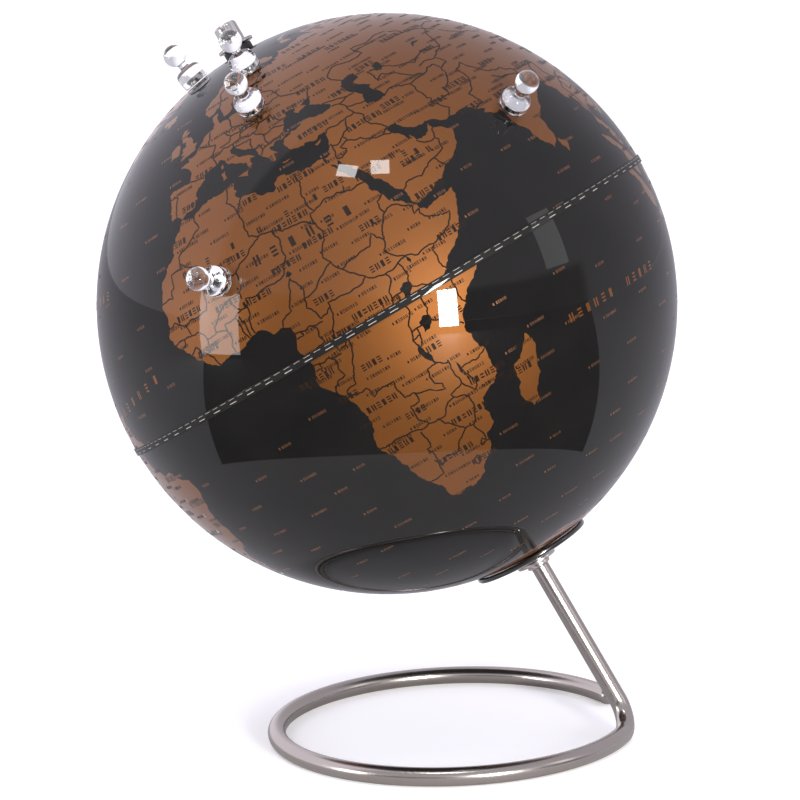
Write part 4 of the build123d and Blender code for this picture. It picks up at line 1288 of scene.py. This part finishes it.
# %% Pin sections
NECK, BALL, PIN_BASE, BASE_TALL, PIN_TOP = 2.0, 4.8, 6.0, 8.0, 19.5
MAGNET, MAGNET_TALL, AIR = 4.0, 3.0, 0.05
ball_middle = PIN_TOP - BALL
ball_start = math.asin(NECK / BALL)
ball_arc = [(BALL * math.sin(part), ball_middle - BALL * math.cos(part), 0)
            for part in np.linspace(ball_start, math.pi, 22)[1:-1]]
neck_top = ball_middle - BALL * math.cos(ball_start)
pocket = [(0, MAGNET_TALL + AIR, 0), (MAGNET + AIR, MAGNET_TALL + AIR, 0.1), (MAGNET + AIR, 0, 0.15)]
base_and_neck = [(PIN_BASE, 0, 0.9), (PIN_BASE, BASE_TALL, 3.0), (NECK, BASE_TALL, 0.8), (NECK, neck_top, 0.45)]
pin_section = rounded(pocket + base_and_neck + ball_arc + [(0, PIN_TOP, 0)], 6)
magnet_section = rounded([(0, 0, 0), (MAGNET, 0, 0.3), (MAGNET, MAGNET_TALL, 0.3), (0, MAGNET_TALL, 0)])
PINS = {"a": (78.9, -142.0), "b": (64.5, -77.0), "c": (50.6, -81.0), "d": (21.0, -31.0), "e": (20.2, -102.5)}
PIN_SIDES, MAGNET_SIDES = 64, 48
print(f"pin section {len(pin_section)} corners, neck from {BASE_TALL:.1f} to {neck_top:.1f} mm")
PIN_FOOT = GLOBE_RADIUS + 0.3 * MM

# %% Stand the pins on the shell
pins, magnets = {}, {}
for letter, (latitude, turn) in PINS.items():
    stand_here = (globe_place @ Matrix.Rotation(math.radians(turn), 4, "Z")
                  @ Matrix.Rotation(math.radians(90 - latitude), 4, "Y") @ Matrix.Translation((0, 0, PIN_FOOT)))
    pins[letter] = turned(f"pin_{letter}_acrylic", pin_section, ACRYLIC, stand_here, PIN_SIDES, ring=False)
    magnets[letter] = turned(f"pin_{letter}_disc", magnet_section, MAGNET_FINISH, stand_here,
                             MAGNET_SIDES, ring=False)
    low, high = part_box(f"pin_{letter}_grip")
    spots = [vertex.co for vertex in pins[letter].data.vertices]
    gap = max(abs(max(spot[axis] for spot in spots) - high[axis]) for axis in range(3))
    print(f"pin {letter}: within {gap / MM:.2f} mm of its frame")

# %% [markdown]
# ## Pieces kept from the frame
# The axle and the lower bushing are inside the globe and can't be seen, so their own solids
# are kept, with the right finish on them.

# %% Axle and lower bushing
for node, finish in (("axle_rod", TURNED), ("lower_bushing", BEARING)):
    kept = frame["nodes"][node].data
    kept.materials.clear()
    kept.materials.append(finish)

# %% [markdown]
# ## Which piece moves with what
# Every piece rides on one body of the mechanism. The printed shells, their ink, the band, the
# bushing turn with the globe; the rod, dish, washers and finial stay with the stand.

# %% Hand the pieces to the bodies
def settle(piece, body, *nodes, slot=None):
    """Ride on a body and stand for the CAD nodes of the same shape."""
    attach(piece, body)
    if nodes:
        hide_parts(*nodes)


settle(north_shell, "globe", "north_hemisphere", slot="printed_steel")
settle(south_shell, "globe", "south_hemisphere", slot="printed_steel")
for ink in (borders, towns, countries, islets, continent_name, desert_name, ocean_name):
    settle(ink, "globe", slot="printed_steel")
settle(band, "globe", "equator_band", slot="black_scale_band")
settle(lower_ticks, "globe", slot="black_scale_band")
settle(upper_ticks, "globe", slot="black_scale_band")
settle(bushing, "globe", "upper_bushing", slot="black_bearing")
settle(top_washer, "stand", "top_flange_washer", slot="satin_nickel_small")
settle(cap, "stand", "cap_nut", slot="satin_nickel_cap")
settle(dish, "stand", "support_dish", slot="black_gloss_plastic")
settle(lower_washer, "stand", "lower_flange_washer", slot="satin_nickel_small")
settle(collar, "stand", "lower_collar", slot="satin_nickel_small")
settle(rod, "stand", "stand_frame", slot="satin_nickel_rod")
for letter in PINS:
    settle(pins[letter], f"pin_{letter}", f"pin_{letter}_grip", slot="clear_acrylic")
    settle(magnets[letter], f"pin_{letter}", f"pin_{letter}_magnet", slot="nickel_magnet")

# %% [markdown]
# ## Studio
# The globe stands on a plain pale floor. Its lacquer mirrors everything round it, so the light
# is made of a few large soft panels, placed where the ball shows them, in a room that is pale
# all round but dim in front. Two cloths on the floor, a grey one all round and a dark one in
# front, do the same below: only mirrored light sees them, so the floor stays plain and pale.

# %% Floor
FLOOR_HALF = 40
CORNERS = (-1, -1), (1, -1), (1, 1), (-1, 1)


def laid(name, verts, faces, dark, light, glow=0.0):
    """Something flat that isn't part of the object."""
    mesh = bpy.data.meshes.new(name)
    mesh.from_pydata(verts, [], faces)
    sheet = bpy.data.objects.new(name, mesh)
    bpy.context.scene.collection.objects.link(sheet)
    paper = Finish(name, Specular_IOR_Level=0.1, Emission_Strength=glow)
    paper.vary(Base_Color=paper.mix(paper.noise(3.0), (dark,) * 3, (light,) * 3))
    paper.vary(Roughness=0.6 + 0.1 * paper.noise(6.0))
    mesh.materials.append(paper.material)
    return sheet


corners = [(x * FLOOR_HALF, y * FLOOR_HALF, 0) for x, y in CORNERS]
laid("studio_floor", corners, [(0, 1, 2, 3)], 0.90, 0.93, 0.20)

# %% Cloths that only mirrored light sees
CLOTH_STEP = 5


def cloth(name, start, end, nearest, height, dark, light):
    """Part of a ring of cloth, from one heading to another."""
    turns = [math.radians(angle) for angle in range(start, end + 1, CLOTH_STEP)]
    verts = [(globe_centre.x + out * math.sin(turn), -out * math.cos(turn), height * MM)
             for turn in turns for out in (nearest, FLOOR_HALF - 1)]
    faces = [(2 * i, 2 * i + 1, 2 * i + 3, 2 * i + 2) for i in range(len(turns) - 1)]
    sheet = laid(name, verts, faces, dark, light)
    sheet.visible_camera = sheet.visible_diffuse = sheet.visible_shadow = sheet.visible_transmission = False


DIM_LEFT, DIM_RIGHT = -60, 95
cloth("grey_cloth", -180, 180, 0.001, 0.5, 0.52, 0.57)
cloth("dark_cloth", DIM_LEFT, DIM_RIGHT, 0.235, 1.0, 0.05, 0.08)

# %% The room round the globe
ROOM_LIGHT, SEEN_LIGHT, MIRROR_LIGHT = 1.15, 1.12, 0.60
bpy.context.scene.view_settings.view_transform = "Standard"
world = bpy.data.worlds.new("studio")
bpy.context.scene.world = world
world.use_nodes = True
room = Graph(world.node_tree)
background = world.node_tree.nodes["Background"]
background.inputs["Color"].default_value = (0.965, 0.935, 1.05, 1)
rays = room.node("ShaderNodeLightPath")
seen = Wire(room, rays.outputs["Is Camera Ray"])
mirrored = Wire(room, rays.outputs["Is Glossy Ray"]).larger(Wire(room, rays.outputs["Is Transmission Ray"]))
way = room.node("ShaderNodeSeparateXYZ", inputs={0: room.out("ShaderNodeTexCoord", output="Generated")})
aside, ahead, above = (Wire(room, socket) for socket in way.outputs)
dim_middle = math.radians((DIM_LEFT + DIM_RIGHT) / 2)
dim_edge = math.cos(math.radians((DIM_RIGHT - DIM_LEFT) / 2))
level_way = (aside * aside + ahead * ahead) ** 0.5
front = ((aside * math.sin(dim_middle) - ahead * math.cos(dim_middle)) / level_way).above(dim_edge, 0.10)
low = (0 - above).above(-0.19, 0.05)
leftward = (0 - aside).above(0.25, 0.5)
mirror_room = MIRROR_LIGHT + 0.56 * leftward * (1 - front) - 0.42 * front * low
room_light = ROOM_LIGHT + mirrored * (mirror_room - ROOM_LIGHT)
room.plug(background.inputs["Strength"], seen * SEEN_LIGHT + (1 - seen) * room_light)
print("world nodes:", len(world.node_tree.nodes))


# %% Soft panels
def panel(name, toward, distance, width, height, power):
    """A soft light that the ball mirrors from a given direction."""
    light = bpy.data.lights.new(name, "AREA")
    light.shape = "RECTANGLE"
    light.size, light.size_y = width, height
    light.energy = power
    lamp = bpy.data.objects.new(name, light)
    bpy.context.scene.collection.objects.link(lamp)
    toward = Vector(toward).normalized()
    lamp.location = globe_centre + toward * distance
    lamp.rotation_euler = (-toward).to_track_quat("-Z", "Y").to_euler()
    lamp.visible_camera = False


panel("key_window", (0.559, -0.824, 0.087), 2.6, 0.32, 0.60, 66)
panel("top_window_left", (-0.094, -0.519, 0.85), 2.4, 0.28, 0.20, 2.8)
panel("top_window_right", (0.094, -0.487, 0.867), 2.4, 0.26, 0.24, 3.2)
panel("left_window", (-0.790, -0.613, 0.01), 1.0, 0.30, 0.36, 2.0)
panel("right_window", (0.92, -0.13, 0.36), 2.6, 0.5, 0.8, 1.5)

# %% Camera
camera_data = bpy.data.cameras.new("camera")
camera_data.lens, camera_data.sensor_width = 121.4, 36
camera = bpy.data.objects.new("camera", camera_data)
bpy.context.scene.collection.objects.link(camera)
right = Vector((0.9805, 0.1919, -0.0419)).normalized()
forward = Vector((-0.1963, 0.966, -0.1681)).normalized()
view = Matrix((right, right.cross(forward), -forward)).transposed().to_4x4()
view.translation = Vector((0.21179, -1.13339, 0.34633)) + right * 0.0007
camera.matrix_world = view
bpy.context.scene.camera = camera
print(f"camera {(globe_centre - view.translation).length:.3f} m from the globe's centre")
